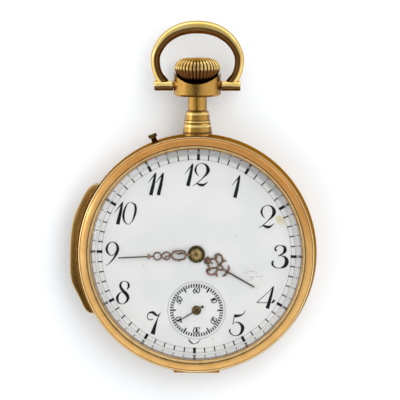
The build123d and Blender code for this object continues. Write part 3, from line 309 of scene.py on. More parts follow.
# ---------------------------------------------------------------- node tools
class Nodes:
    """Short way to build a material's node tree."""

    def __init__(self, name):
        self.material = bpy.data.materials.new(name)
        self.material.use_nodes = True
        self.tree = self.material.node_tree
        self.shader = self.tree.nodes["Principled BSDF"]
        coords = self.add("TexCoord").outputs["Object"]
        scale = (1 / MM, 1 / MM, 1 / MM)
        self.mm = self.add("Mapping", {"Vector": coords, "Scale": scale}).outputs["Vector"]

    def link(self, a, b):
        self.tree.links.new(a, b)

    def put(self, socket, value):
        if hasattr(value, "links"):
            self.link(value, socket)
        else:
            socket.default_value = value

    def add(self, kind, inputs=None):
        """New node, with inputs linked or set by name or number."""
        node = self.tree.nodes.new("ShaderNode" + kind)
        for key, value in (inputs or {}).items():
            self.put(node.inputs[key], value)
        return node

    def mapped(self, scale, turn=(0, 0, 0)):
        turn = [math.radians(a) for a in turn]
        node = self.add("Mapping", {"Vector": self.mm, "Scale": scale, "Rotation": turn})
        return node.outputs["Vector"]

    def noise(self, scale, detail=3.0, rough=0.5, vector=None, distortion=0.0):
        node = self.add("TexNoise", {"Vector": vector or self.mm, "Scale": scale, "Detail": detail,
                                     "Roughness": rough, "Distortion": distortion})
        return node.outputs["Fac"]

    def noise_at(self, value, scale, detail):
        """Noise along one value."""
        node = self.add("TexNoise")
        node.noise_dimensions = "1D"
        for key, setting in (("W", value), ("Scale", scale), ("Detail", detail)):
            self.put(node.inputs[key], setting)
        return node.outputs["Fac"]

    def math(self, kind, a, b=0.0, clamp=False):
        node = self.add("Math", {0: a, 1: b})
        node.operation = kind
        node.use_clamp = clamp
        return node.outputs[0]

    def plus(self, a, b, clamp=False):
        return self.math("ADD", a, b, clamp=clamp)

    def times(self, a, b):
        return self.math("MULTIPLY", a, b)

    def ramp(self, value, low, high, to_low=0.0, to_high=1.0):
        """Maps a value's range smoothly to another."""
        node = self.add("MapRange", {"Value": value, "From Min": low, "From Max": high,
                                     "To Min": to_low, "To Max": to_high})
        node.interpolation_type = "SMOOTHSTEP"
        return node.outputs["Result"]

    def clouds(self, scale, detail=3.0, rough=0.5, to=(0.0, 1.0)):
        """Soft noise spread over a range."""
        return self.ramp(self.noise(scale, detail, rough), 0.3, 0.7, *to)

    def line(self, value, place, half, strength, core=0.4):
        """Line of a strength where a value is within half of a place, solid in its core."""
        off = self.math("ABSOLUTE", self.math("SUBTRACT", value, place))
        return self.ramp(off, half * core, half, strength, 0.0)

    def mix(self, factor, a, b):
        node = self.add("Mix")
        node.data_type = "RGBA"
        self.put(node.inputs[0], factor)
        for socket, value in ((node.inputs[6], a), (node.inputs[7], b)):
            if hasattr(value, "links"):
                self.link(value, socket)
            else:
                socket.default_value = (*value, 1.0)
        return node.outputs[2]

    def axes(self):
        return self.add("SeparateXYZ", {0: self.mm}).outputs

    def normal(self):
        return self.add("SeparateXYZ", {0: self.add("NewGeometry").outputs["Normal"]}).outputs

    def edge(self, radius):
        """1 within a radius of sharp edges, 0 elsewhere."""
        plain = self.add("NewGeometry").outputs["Normal"]
        rounded = self.add("Bevel", {"Radius": radius * MM}).outputs["Normal"]
        turned = self.add("VectorMath", {0: plain, 1: rounded})
        turned.operation = "DOT_PRODUCT"
        return self.ramp(turned.outputs["Value"], 0.93, 0.99, 1.0, 0.0)

    def distance(self, x, y):
        """Distance in the dial plane from a point."""
        px, py, _ = self.axes()
        dx = self.math("SUBTRACT", px, x)
        dy = self.math("SUBTRACT", py, y)
        return self.math("SQRT", self.plus(self.times(dx, dx), self.times(dy, dy)))

    def bump(self, height, strength, distance=0.02):
        node = self.add("Bump", {"Height": height, "Strength": strength, "Distance": distance * MM})
        self.link(node.outputs["Normal"], self.shader.inputs["Normal"])

    def set(self, **values):
        """Links or sets the shader's inputs by short names."""
        names = {"color": "Base Color", "metal": "Metallic", "rough": "Roughness", "ior": "IOR",
                 "coat": "Coat Weight", "coat_rough": "Coat Roughness",
                 "glass": "Transmission Weight", "alpha": "Alpha", "specular": "Specular IOR Level",
                 "tint": "Specular Tint"}
        for key, value in values.items():
            socket = self.shader.inputs[names[key]]
            if isinstance(value, tuple) and len(value) == 3:
                value = (*value, 1.0)
            self.put(socket, value)


# ---------------------------------------------------------------- materials
def scratches(n, turn, density=0.62):
    """Fine straight hairlines in one direction, 0 to 1."""
    long_grain = n.noise(1.0, 2.0, 0.6, n.mapped((0.35, 9.0, 3.0), (0, 0, turn)))
    return n.ramp(long_grain, density, density + 0.08)


def gold(name, light, deep, rough, wear=0.25, brushed=False, rings=(), dark=0.0):
    """Yellow gold with colour drift, hairlines, and where asked round brushing and painted shade.

    rings are (radius, half width, strength, tone) of painted highlight and painted shade lines; dark is
    how far the parts marked by the "shade" attribute go towards painted brown shade."""
    n = Nodes(name)
    drift = n.clouds(0.22, 4.0, 0.6)
    color = n.mix(drift, deep, light)
    lines = n.math("MAXIMUM", scratches(n, 25), scratches(n, -48, 0.64))
    cloud = n.clouds(0.7, 4.0, 0.55)
    roughness = n.plus(n.times(cloud, rough * 0.25), rough * 0.85)
    roughness = n.plus(roughness, n.times(lines, wear * 0.2))
    height = n.times(lines, -wear)
    if brushed:
        radius = n.distance(0.0, 0.0)
        grain = n.noise_at(radius, 7.0, 4.0)
        patch = n.noise(0.16, 3.0, 0.6, distortion=0.6)
        blotch = n.plus(n.times(grain, 0.5), n.times(patch, 0.5))
        tone = n.ramp(blotch, 0.38, 0.62)
        color = n.mix(tone, n.mix(0.5, color, BROWN_GOLD), color)
        # painted shade: darker and more orange towards 12
        x, y, _ = n.axes()
        towards_top = n.plus(n.times(x, 0.2), n.times(y, 0.98))
        painted_shade_top = n.ramp(towards_top, 2.0, 19.0)
        color = n.mix(n.times(painted_shade_top, 0.6), color, PAINTED_SHADE_ORANGE)
        # painted shade: olive on the steep flanks, which would otherwise mirror the bright floor
        painted_shade_steep = n.ramp(n.math("ABSOLUTE", n.normal()[2]), 0.45, 0.8, 1.0, 0.0)
        color = n.mix(n.times(painted_shade_steep, 0.8), color, PAINTED_SHADE_OLIVE)
        roughness = n.plus(roughness, n.times(grain, 0.14))
        height = n.plus(height, grain)
    # painted highlight and painted shade lines round the centre
    for r, half, strength, tone in rings:
        color = n.mix(n.line(n.distance(0.0, 0.0), r, half, strength), color, tone)
    # painted shade: brown where the "shade" attribute marks faces that lie in shade or mirror dark
    if dark > 0:
        mark = n.add("Attribute")
        mark.attribute_name = "shade"
        smear = n.ramp(n.noise(1.4, 4.0, 0.6), 0.2, 0.8, 0.96, 1.0)
        painted_shade_amount = n.times(n.times(mark.outputs["Fac"], smear), dark)
        color = n.mix(painted_shade_amount, color, PAINTED_SHADE_BROWN)
    n.set(color=color, metal=1.0, rough=roughness, tint=GOLD_GRAZING)
    n.bump(height, 0.10 if brushed else 0.04)
    return n.material


def slide_gold():
    """Gold of the repeater slide: painted dark reflection on the flat face, painted highlights on the
    edges.
    """
    n = Nodes("slide_gold")
    _, y, _ = n.axes()
    grain = n.noise(0.35, 2.0, 0.5, n.mapped((3.0, 0.4, 1.0)))
    # painted dark reflection on the flat face, darker towards the bottom
    flat = n.mix(n.ramp(y, -12.0, 14.0), (0.17, 0.085, 0.02), (0.46, 0.25, 0.07))
    flat = n.mix(n.ramp(grain, 0.4, 0.65, 0.0, 0.5), flat, (0.22, 0.10, 0.025))
    # painted highlight along the edges
    color = n.mix(n.edge(0.45), flat, (1.0, 0.86, 0.48))
    n.set(color=color, metal=1.0, rough=n.clouds(0.4, 2.0, to=(0.26, 0.30)))
    return n.material


def pusher_gold():
    """Dark gold of the setting pusher, with painted highlights along its edges."""
    n = Nodes("pusher_gold")
    worn = n.clouds(2.0, 4.0, 0.6)
    color = n.mix(worn, (0.035, 0.02, 0.012), (0.10, 0.06, 0.02))
    # painted highlight along the edges
    color = n.mix(n.edge(0.12), color, (0.9, 0.75, 0.3))
    n.set(color=color, metal=1.0, rough=n.ramp(worn, 0.0, 1.0, 0.2, 0.3), tint=(0.5, 0.4, 0.2))
    return n.material


def pendant_gold():
    """Satin gold of the cup and neck: painted highlights on the flanks and collars, painted shade at
    the edges and in the grooves, and a painted dark reflection down the middle.
    """
    n = Nodes("pendant_gold")
    _, y, _ = n.axes()
    grain = n.noise(1.0, 4.0, 0.6, n.mapped((5.0, 0.5, 2.0)))
    across = n.math("ABSOLUTE", n.plus(n.normal()[0], 0.08))
    # painted reflection: dark down the middle, bright on the flanks, with painted shade at the edges
    color = n.mix(n.ramp(across, 0.1, 0.62), (0.27, 0.15, 0.03), (0.64, 0.36, 0.09))
    color = n.mix(n.ramp(across, 0.72, 0.98), color, (0.22, 0.10, 0.018))
    drift = n.clouds(0.6, 4.0, 0.6)
    color = n.mix(n.times(drift, 0.5), color, (0.44, 0.25, 0.05))
    # painted dark reflection down the middle of the cup, broken by the grain
    painted_dark_middle = n.times(n.ramp(across, 0.1, 0.42, 1.0, 0.0), n.ramp(grain, 0.40, 0.60))
    painted_dark_middle = n.times(painted_dark_middle, n.ramp(y, 33.9, 34.6))
    color = n.mix(n.times(painted_dark_middle, 0.8), color, (0.11, 0.075, 0.028))
    # painted shade in the grooves between the collars
    for line, half in ((31.02, 0.16), (28.9, 0.12), (28.36, 0.09), (34.15, 0.12), (26.2, 0.35)):
        color = n.mix(n.line(y, line, half, 0.85), color, PAINTED_SHADE_BROWN)
    # painted highlights along the collars
    for line, half in ((30.35, 0.3), (28.62, 0.14), (27.7, 0.3)):
        color = n.mix(n.line(y, line, half, 0.8, 0.3), color, (1.0, 0.76, 0.28))
    n.set(color=color, metal=1.0, rough=n.plus(n.times(grain, 0.16), 0.17))
    n.bump(grain, 0.06)
    return n.material


def enamel():
    """White fired enamel: faint speckle, a chip by the 2, scuffs by the 4 and age spots."""
    n = Nodes("dial_enamel")
    wobble = n.noise(1.6, 5.0, 0.7)
    cool = n.mix(n.ramp(n.noise(0.12, 3.0), 0.35, 0.65), (0.715, 0.722, 0.725), (0.76, 0.765, 0.758))
    specks = n.ramp(n.noise(2.6, 6.0, 0.75), 0.63, 0.69)
    color = n.mix(n.times(specks, 0.55), cool, (0.42, 0.40, 0.34))
    for (x, y), size, tone in CHIP_MARKS:
        near = n.plus(n.distance(x, y), n.times(wobble, size * 3.2))
        mark = n.ramp(near, size * 2.2, size * 2.7, 1.0, 0.0)
        color = n.mix(mark, color, tone)
    scuff_zone = n.ramp(n.distance(*SCUFFS_AT), 1.2, 3.4, 1.0, 0.0)
    scuff = n.ramp(n.noise(1.0, 3.0, 0.65, n.mapped((0.9, 3.2, 1.0), (0, 0, 38))), 0.52, 0.62)
    scuffed = n.times(n.times(scuff, scuff_zone), 0.7)
    color = n.mix(scuffed, color, (0.44, 0.43, 0.37))
    n.set(color=color, rough=n.ramp(wobble, 0.3, 0.8, 0.10, 0.26), coat=0.35, coat_rough=0.06)
    n.bump(n.noise(0.35, 2.0), 0.25, 0.05)
    return n.material


def fired_black():
    """Black vitreous paint, a little uneven where it lies thin."""
    n = Nodes("fired_black")
    thin = n.ramp(n.noise(3.5, 4.0, 0.7), 0.35, 0.75)
    tone = n.mix(thin, (0.002, 0.002, 0.003), (0.02, 0.021, 0.023))
    n.set(color=tone, rough=n.clouds(6.0, 2.0, to=(0.28, 0.5)), specular=0.12)
    return n.material


def fine_black():
    """The same paint in hairlines, where it looks dark grey."""
    n = Nodes("fine_black")
    tone = n.mix(n.clouds(2.2, 4.0, 0.7), (0.05, 0.052, 0.055), (0.11, 0.11, 0.112))
    n.set(color=tone, rough=n.clouds(6.0, 2.0, to=(0.32, 0.5)), specular=0.2)
    return n.material


def hand_gold():
    """Rose gold of the pierced hands, with painted shade on the sloping sides of the strokes."""
    n = Nodes("hand_rose_gold")
    drift = n.clouds(1.6, 4.0, 0.65)
    color = n.mix(drift, (0.13, 0.068, 0.04), (0.56, 0.34, 0.22))
    # painted shade on the sloping sides of the strokes
    side = n.ramp(n.normal()[2], 0.82, 0.995, 1.0, 0.0)
    color = n.mix(side, color, (0.045, 0.025, 0.017))
    n.set(color=color, metal=1.0, rough=n.clouds(4.0, 3.0, to=(0.22, 0.42)))
    return n.material


def needle_bronze():
    """Dark bronze of the hands' needles."""
    n = Nodes("needle_bronze")
    color = n.mix(n.clouds(2.0, 4.0, 0.6), (0.045, 0.032, 0.024), (0.13, 0.09, 0.055))
    n.set(color=color, metal=1.0, rough=n.clouds(5.0, 3.0, to=(0.26, 0.42)))
    return n.material


def hub_brass(name, at, dome_r, light):
    """Old brass of a hand's hub: dark flange, a paler dome of radius dome_r, dark pivot."""
    n = Nodes(name)
    dull = n.clouds(2.2, 4.0, 0.6)
    flange = n.mix(dull, (0.055, 0.040, 0.015), (0.16, 0.115, 0.045))
    dome = n.mix(n.clouds(0.7, 1.5, 0.5), light, [c * 0.6 for c in light])
    from_axis = n.distance(*at)
    color = n.mix(n.ramp(from_axis, dome_r * 0.85, dome_r, 1.0, 0.0), flange, dome)
    color = n.mix(n.ramp(from_axis, dome_r * 0.2, dome_r * 0.42, 0.9, 0.0), color, (0.10, 0.05, 0.015))
    n.set(color=color, metal=1.0, rough=n.clouds(4.0, 3.0, to=(0.18, 0.32)))
    return n.material


def crystal():
    """Clear glass: grey lines painted at the bevel's edges as reflection, a painted shadow of the bezel
    towards 1 o'clock, hairlines and dust.
    """
    n = Nodes("crystal_glass")
    radius = n.distance(0.0, 0.0)
    lines = n.math("MAXIMUM", scratches(n, 15, 0.70), scratches(n, 110, 0.72))
    painted_bevel_grey = 0.0
    for r, half, strength in GLASS_RINGS:
        painted_bevel_grey = n.math("MAXIMUM", painted_bevel_grey, n.line(radius, r, half, strength, 0.3))
    rough = n.plus(n.times(lines, 0.05), 0.004)
    color = n.mix(n.noise(0.1, 2.0), (0.975, 0.985, 0.98), (0.995, 1.0, 0.998))
    x, y, _ = n.axes()
    # painted shadow of the bezel on the bevel, darker towards 1 o'clock
    towards_one = n.plus(n.times(x, 0.34 / GLASS_R),
                         n.times(y, 0.94 / GLASS_R))
    grey = n.mix(n.ramp(towards_one, 0.45, 0.85), (0.62, 0.64, 0.63), (0.16, 0.165, 0.15))
    bevel = n.times(n.ramp(radius, 21.7, 22.0), n.ramp(towards_one, 0.5, 0.85, 0.0, 0.5))
    painted_bevel_grey = n.math("MAXIMUM", painted_bevel_grey, bevel)
    n.set(color=n.mix(painted_bevel_grey, color, grey), rough=rough, glass=1.0, ior=1.45,
          alpha=n.plus(n.times(painted_bevel_grey, 0.6), 0.3, clamp=True))
    return n.material


def plate_metal(name, base, shade, stripes=0.0):
    """Movement plate with soft parallel stripes and grain."""
    n = Nodes(name)
    x, y, _ = n.axes()
    if stripes > 0:
        across = n.plus(n.times(x, 0.5), n.times(y, 0.866))
        wave = n.math("PINGPONG", across, stripes / 2)
        band = n.ramp(wave, 0.0, stripes / 2)
    else:
        band = n.clouds(0.8, 4.0)
    grain = n.noise(1.0, 3.0, 0.6, n.mapped((0.6, 14.0, 3.0), (0, 0, 60)))
    color = n.mix(band, shade, base)
    n.set(color=color, metal=1.0, rough=n.plus(n.times(grain, 0.25), 0.24))
    n.bump(n.plus(n.times(band, 0.6), grain), 0.12)
    return n.material


def polished(name, light, dark, rough=0.16):
    """Plain polished metal with fine drift and hairlines."""
    n = Nodes(name)
    color = n.mix(n.clouds(0.7, 5.0, 0.6), dark, light)
    lines = scratches(n, 35)
    n.set(color=color, metal=1.0, rough=n.plus(n.times(lines, 0.16), rough))
    n.bump(n.plus(lines, n.noise(8.0, 2.0)), 0.05)
    return n.material


def ruby():
    """Clear red of the jewels."""
    n = Nodes("ruby_jewel")
    color = n.mix(n.clouds(2.0, 3.0), (0.42, 0.01, 0.045), (0.62, 0.03, 0.10))
    n.set(color=color, rough=n.clouds(5.0, 2.0, to=(0.04, 0.10)), glass=0.35, ior=1.76)
    return n.material


def floor_white():
    """Matt white, a little cool, so that its shadows are."""
    n = Nodes("floor_white")
    drift = n.clouds(0.02, 3.0)
    n.set(color=n.mix(drift, (0.895, 0.925, 0.955), (0.915, 0.945, 0.975)),
          rough=n.clouds(0.5, 2.0, to=(0.55, 0.7)))
    return n.material


# ---------------------------------------------------------------- dial printing
def text_strokes(text):
    """Strokes of a number, centred on the origin, with 100 units of height."""
    strokes = []
    start = 0.0
    for digit in text:
        for stroke in DIGITS[digit]:
            strokes.append([(x + start, y, w) for x, y, w in stroke])
        start += ADVANCE.get(digit, DEFAULT_ADVANCE) + WIDE_PAIR.get(text, 0.0)
    xs = [x for stroke in strokes for x, _, _ in stroke]
    shift = (min(xs) + max(xs)) / 2
    return [[(x - shift, y - 50.0, w) for x, y, w in stroke] for stroke in strokes]


def add_number(bm, text, x, y, height, z, turn=0.0, weight=1.0, least=0.0, steps=6):
    """Draws a number centred on (x, y), its strokes at least so wide, each a hair above the last."""
    c, s = math.cos(math.radians(turn)), math.sin(math.radians(turn))
    k = height / 100.0
    for i, stroke in enumerate(text_strokes(text)):
        points = [(x + (px * c - py * s) * k, y + (px * s + py * c) * k, max(w * k * weight, least))
                  for px, py, w in stroke]
        add_stroke(bm, points, z, PRINT_HEIGHT * (1 + 0.06 * i), steps=steps)


def hour_numerals(black):
    """Hour numbers, upright, leaving out the 6 that the seconds dial cuts away."""
    bm = bmesh.new()
    z = level("dial")
    for hour in range(1, 13):
        if hour == 6:
            continue
        x, y = on_circle(NUMERAL_RING, hour * 30 + DIAL_TURN)
        text = str(hour)
        height = NUMERAL_HEIGHT * TALL_DIGITS.get(text, 1.0)
        dx, dy = NUMERAL_SHIFT[hour]
        add_number(bm, text, x + dx, y + dy, height, z, weight=1.18, least=0.11)
    foot_of_six = ((-1.78, -18.55, 0.1), (-1.5, -19.0, 0.3), (-1.0, -19.45, 0.3), (-0.45, -19.62, 0.14),
                   (0.2, -19.35, 0.2), (0.62, -18.95, 0.16), (0.86, -18.5, 0.08))
    add_stroke(bm, foot_of_six, z, PRINT_HEIGHT)
    piece = finish_mesh(bm, "hour_numerals", black, "case", smooth=False)


def tick(bm, clock, r0, r1, width, z, at=(0.0, 0.0), height=PRINT_HEIGHT):
    """Radial mark between two radii round a point."""
    a = on_circle(r0, clock)
    b = on_circle(r1, clock)
    points = ((at[0] + a[0], at[1] + a[1], width), (at[0] + b[0], at[1] + b[1], width))
    add_stroke(bm, points, z, height, steps=1)


def minute_track(black, thin):
    """Two fine lines with a tick at each minute, and short marks or dots outside them."""
    z = level("dial")
    lines = bmesh.new()
    for r in TRACK_R:
        add_ring(lines, r - LINE_HALF, r + LINE_HALF, z, PRINT_HEIGHT, segments=240)
    bold = bmesh.new()
    ticks = bmesh.new()
    for minute in range(60):
        clock = minute * 6 + DIAL_TURN
        if minute % 5 == 0:
            tick(bold, clock, TRACK_R[0] - 0.15, TRACK_R[1] + 0.2, 0.62, z, height=PRINT_HEIGHT * 1.1)
            x, y = on_circle(DOT_R, clock)
            add_dot(bold, x, y, 0.33, z, PRINT_HEIGHT)
        else:
            tick(ticks, clock, TRACK_R[0] - 0.1, TRACK_R[1] + 0.05, 0.27, z, height=PRINT_HEIGHT * 1.1)
            tick(ticks, clock, DOT_R - 0.2, DOT_R + 0.15, 0.3, z)
    for bm, name, material in ((lines, "minute_track", thin), (ticks, "minute_marks", black),
                               (bold, "five_minute_marks", black)):
        piece = finish_mesh(bm, name, material, "case", smooth=False)


def seconds_track(black, thin):
    """Printing of the sunk seconds dial."""
    bm = bmesh.new()
    cx, cy = SUB_CENTRE
    z = SUB_FLOOR
    for second in range(60):
        fifth = second % 5 == 0
        odd_five = second % 10 == 5
        inner = SUB_TRACK_R[0] - (0.62 if odd_five else 0.0)
        width = 0.34 if fifth else 0.3
        tick(bm, second * 6, inner, SUB_TRACK_R[1], width, z, SUB_CENTRE)
    for ten in range(0, 60, 10):
        text = str(ten) if ten else "60"
        x, y = on_circle(SUB_RING, ten * 6)
        add_number(bm, text, cx + x, cy + y, SUB_HEIGHT, z, turn=-ten * 6, weight=2.2, least=0.2,
                   steps=3)
    piece = finish_mesh(bm, "seconds_print", black, "case", smooth=False)
    line = bmesh.new()
    for r in (*SUB_TRACK_R, SUB_LINE_R):
        add_ring(line, r - LINE_HALF, r + LINE_HALF, z, PRINT_HEIGHT * 0.8, SUB_CENTRE, 160)
    piece = finish_mesh(line, "seconds_line", thin, "case", smooth=False)


# ---------------------------------------------------------------- hands
def mirrored(points):
    """The same stroke on the other side of the hand."""
    return [(-x, y, w) for x, y, w in points]


def heavier(points, factor):
    """The same stroke with its widths multiplied."""
    return [(x, y, w * factor) for x, y, w in points]


def hour_hand(rose, bronze, brass):
    """Pierced hour hand: hub, knot, two scrolls with ball ends, thorns, anchor and needle."""
    z = level("hour_hand", top=False)
    t = HOUR_HAND_THICK
    needle = bmesh.new()
    add_stroke(needle, ((0, 7.3, 0.4), (0, 9.5, 0.36), (0, 12.5, 0.32), (0, 14.5, 0.26)), z, t, ROUND)
    turn_and_place(needle, HOUR_CLOCK)
    needle = finish_mesh(needle, "hour_needle", bronze, "hour_wheel")
    scroll = ((0.0, 3.25, 0.34), (0.75, 3.35, 0.34), (1.05, 4.1, 0.28), (0.65, 4.95, 0.3),
              (0.15, 5.35, 0.3))
    lobe = ((0.15, 5.35, 0.3), (0.9, 5.62, 0.34), (1.75, 5.55, 0.36), (2.35, 4.9, 0.34),
            (2.38, 4.2, 0.36), (1.95, 3.75, 0.4), (1.5, 4.0, 0.5), (1.62, 4.38, 0.42))
    thorn = ((0.95, 5.6, 0.3), (1.5, 5.75, 0.42), (1.85, 6.1, 0.3), (1.92, 6.5, 0.1))
    loop = ((0.15, 5.3, 0.3), (0.5, 5.95, 0.28), (0.15, 6.6, 0.3), (0.0, 7.1, 0.4))
    anchor = ((0.0, 7.62, 0.5), (0.55, 7.72, 0.42), (1.05, 7.5, 0.32), (1.38, 7.12, 0.1))
    bm = bmesh.new()
    for shape in (scroll, lobe, thorn, loop, anchor):
        shape = heavier(shape, 1.2)
        add_stroke(bm, shape, z, t, ROUND)
        add_stroke(bm, mirrored(shape), z, t, ROUND)
    for side in (-1, 1):
        add_ring(bm, 0.12, 0.42, z, t, (side * 0.46, 2.6), 40, ROUND)
    add_stroke(bm, ((0, 1.6, 0.7), (0, 2.2, 0.45), (0, 3.3, 0.5), (0, 4.2, 0.2)), z, t * 1.1, ROUND)
    turn_and_place(bm, HOUR_CLOCK)
    figure = finish_mesh(bm, "hour_figure", rose, "hour_wheel")
    hub = bmesh.new()
    top = z + 0.26
    add_lathe(hub, ((0, z + 0.01), (1.86, z + 0.01), (1.9, z + 0.1), (1.84, top - 0.04), (1.7, top),
                    (1.4, top - 0.02), (1.2, top - 0.08), (0, top - 0.08)))
    hub = finish_mesh(hub, "hour_hub", brass, "hour_wheel")
    bevelled(hub, 0.03, 35, harden=True)
    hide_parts("hour_hand")


def minute_hand(rose, bronze, brass):
    """Pierced minute hand: ring knot, crossed strands, ring, cone and a long needle."""
    z = level("minute_hand", top=False)
    t = MINUTE_HAND_THICK
    needle = bmesh.new()
    add_stroke(needle, ((0, 10.4, 0.3), (0, 12.5, 0.3), (0, 15, 0.28), (0, 17.0, 0.24)), z, t, ROUND)
    turn_and_place(needle, MINUTE_CLOCK)
    needle = finish_mesh(needle, "minute_needle", bronze, "minute_arbor")
    side_arc = ((0.1, 2.35, 0.34), (0.75, 2.55, 0.32), (0.98, 3.3, 0.3), (0.92, 4.3, 0.3),
                (0.85, 4.85, 0.36), (0.3, 5.25, 0.34), (0.0, 5.45, 0.3))
    inner_curl = ((0.2, 2.75, 0.2), (0.45, 3.2, 0.4), (0.3, 3.8, 0.34), (0.42, 4.25, 0.2),
                  (0.7, 4.5, 0.26))
    spur = ((-0.95, 3.4, 0.3), (-1.25, 3.75, 0.22), (-1.3, 4.2, 0.12))
    strand = ((0.0, 5.5, 0.26), (0.72, 6.1, 0.28), (0.74, 6.8, 0.28), (0.2, 7.55, 0.26))
    crossing = ((-0.62, 7.3, 0.3), (-0.2, 6.5, 0.3), (0.05, 5.7, 0.24))
    bm = bmesh.new()
    for shape in (side_arc, strand, inner_curl, mirrored(side_arc), mirrored(strand)):
        add_stroke(bm, heavier(shape, 1.2), z, t, ROUND)
    add_stroke(bm, spur, z, t, ROUND)
    add_stroke(bm, crossing, z, t * 1.1, ROUND)
    add_ring(bm, 0.66, 0.96, z, t, (0, 8.47), 56, ROUND)
    cone = ((0, 9.4, 0.3), (0, 9.8, 0.36), (0, 10.25, 0.95), (0, 10.5, 1.3), (0, 10.56, 1.1))
    add_stroke(bm, cone, z, t, ROUND)
    add_stroke(bm, ((0, 1.2, 0.8), (0, 1.9, 0.46), (0, 2.5, 0.5)), z, t, ROUND)
    turn_and_place(bm, MINUTE_CLOCK)
    figure = finish_mesh(bm, "minute_figure", rose, "minute_arbor")
    hub = bmesh.new()
    cap = level("minute_hand")
    add_lathe(hub, ((0, z + 0.01), (1.36, z + 0.01), (1.4, z + 0.08), (1.32, z + 0.17), (1.1, z + 0.2),
                    (1.0, z + 0.2), (0.98, cap - 0.12), (0.86, cap - 0.02), (0.6, cap + 0.03),
                    (0.42, cap + 0.02), (0.36, cap - 0.05), (0, cap - 0.08)))
    hub = finish_mesh(hub, "minute_hub", brass, "minute_arbor")
    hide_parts("minute_hand")


def seconds_hand(bronze, brass):
    """Small needle with a round counterweight behind its hub."""
    z = level("seconds_hand", top=False)
    t = SECONDS_HAND_THICK
    bm = bmesh.new()
    add_stroke(bm, ((0, 0.7, 0.26), (0, 2.4, 0.24), (0, 4.45, 0.16)), z, t, ROUND)
    add_stroke(bm, ((0, -0.8, 0.2), (0, -1.3, 0.2)), z, t, ROUND)
    add_lathe(bm, ((0, z), (0.3, z), (0.31, z + 0.05), (0.26, z + 0.1), (0, z + 0.12)), (0, -1.5), 32)
    turn_and_place(bm, SECONDS_CLOCK, SUB_CENTRE)
    needle = finish_mesh(bm, "seconds_needle", bronze, "seconds_arbor")
    hub = bmesh.new()
    add_lathe(hub, ((0, z), (0.96, z), (1.02, z + 0.05), (0.98, z + 0.12), (0.75, z + 0.18),
                    (0.4, z + 0.2), (0, z + 0.2)), SUB_CENTRE, 64)
    hub = finish_mesh(hub, "seconds_hub", brass, "seconds_arbor")
    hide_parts("seconds_hand")


# ---------------------------------------------------------------- case pieces
CROWN_PROFILE = (           # (place along +Y, radius)
    (36.3, 0.9), (36.3, 3.1), (36.6, 3.35), (37.2, 3.75), (38.0, 4.18), (38.8, 4.52), (39.4, 4.76),
    (40.0, 4.94), (40.5, 4.93), (41.0, 4.78), (41.45, 4.5), (41.85, 4.1), (42.12, 3.6),
    (42.28, 3.05), (42.36, 2.5), (42.3, 2.35), (42.32, 1.6), (42.4, 0.8), (42.42, 0.0))


def crown_shade(y, angle, wave, fluted):
    """Painted shade of the crown: in its grooves, on its taper, and a painted dark reflection down the
    middle of its face.
    """
    groove = clamped((0.85 - wave) / 0.28)
    taper = clamped((40.3 - y) / 0.4)
    ridge = 1.0 if wave < 0.97 else 0.92
    centre = 0.75 * max(0.0, 1.0 - abs(math.cos(angle)) / 0.5)
    return max(groove if fluted else 0.25, taper * ridge, centre)


def crown(material):
    """Onion crown with round flutes that run over its shoulder and down its taper."""
    axis_z = middle("crown").z
    count = CROWN_FLUTES * 10
    bm = bmesh.new()
    shade = bm.verts.layers.float.new("shade")
    rings = []
    for y, r in curve_through(CROWN_PROFILE, 3):
        if r < 1e-3:
            rings.append([bm.verts.new((0, y, axis_z))])
            continue
        cut = FLUTE_DEPTH * clamped((r - 2.45) / 0.9) if y > 36.45 else 0.0
        ring = []
        for i in range(count):
            a = 2 * math.pi * i / count
            wave = abs(math.sin(CROWN_FLUTES * a / 2)) ** 0.75
            rr = r - cut * (1 - wave)
            vert = bm.verts.new((rr * math.cos(a), y, axis_z + rr * math.sin(a)))
            vert[shade] = crown_shade(y, a, wave, cut > 0.05)
            ring.append(vert)
        rings.append(ring)
    skin(bm, rings)
    bm.faces.new(rings[0])
    piece = finish_mesh(bm, "crown_fluted", material, "winding")
    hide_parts("crown")


BOW_HALF = (                # right half of the bow's wire: (x, y, width, half depth)
    (0, 49.11, 2.8, 1.2), (2.2, 48.93, 2.76, 1.2), (4.1, 48.4, 2.66, 1.18), (5.6, 47.6, 2.55, 1.15),
    (7.0, 46.5, 2.4, 1.12), (8.15, 45.0, 2.2, 1.08), (8.95, 43.3, 2.05, 1.04),
    (9.12, 41.8, 1.98, 1.0), (8.95, 40.2, 1.95, 0.98), (8.45, 38.7, 2.0, 0.96),
    (7.85, 37.7, 2.25, 0.9), (7.5, 37.1, 2.5, 0.78), (7.35, 36.6, 2.5, 0.7))
BARREL_PROFILE = (          # (place along X, radius), open in the middle for the bow screw
    (5.22, 0.5), (5.22, 0.95), (5.29, 1.04), (5.5, BARREL_R), (9.1, BARREL_R), (9.28, 1.02),
    (9.35, 0.9), (9.35, 0.78), (9.0, 0.76), (9.0, 0.5), (5.22, 0.5))


def wire_shade(out, across):
    """Painted shade of the bow: inner half dark, outer rim and the flanks of a painted highlight less
    so.

    out goes from -1 on the inside of the loop to 1 outside; across is the wire's sideways share."""
    edge_of_dark = 0.02 + 0.42 * abs(across) ** 1.5
    inner = clamped((edge_of_dark - out) / 0.25) * 0.985
    rim = clamped((out - 0.9) / 0.08) * 0.7
    flank = 0.42 * (1.0 - math.exp(-((out - 0.6) / 0.22) ** 2))
    return max(inner, rim, flank)


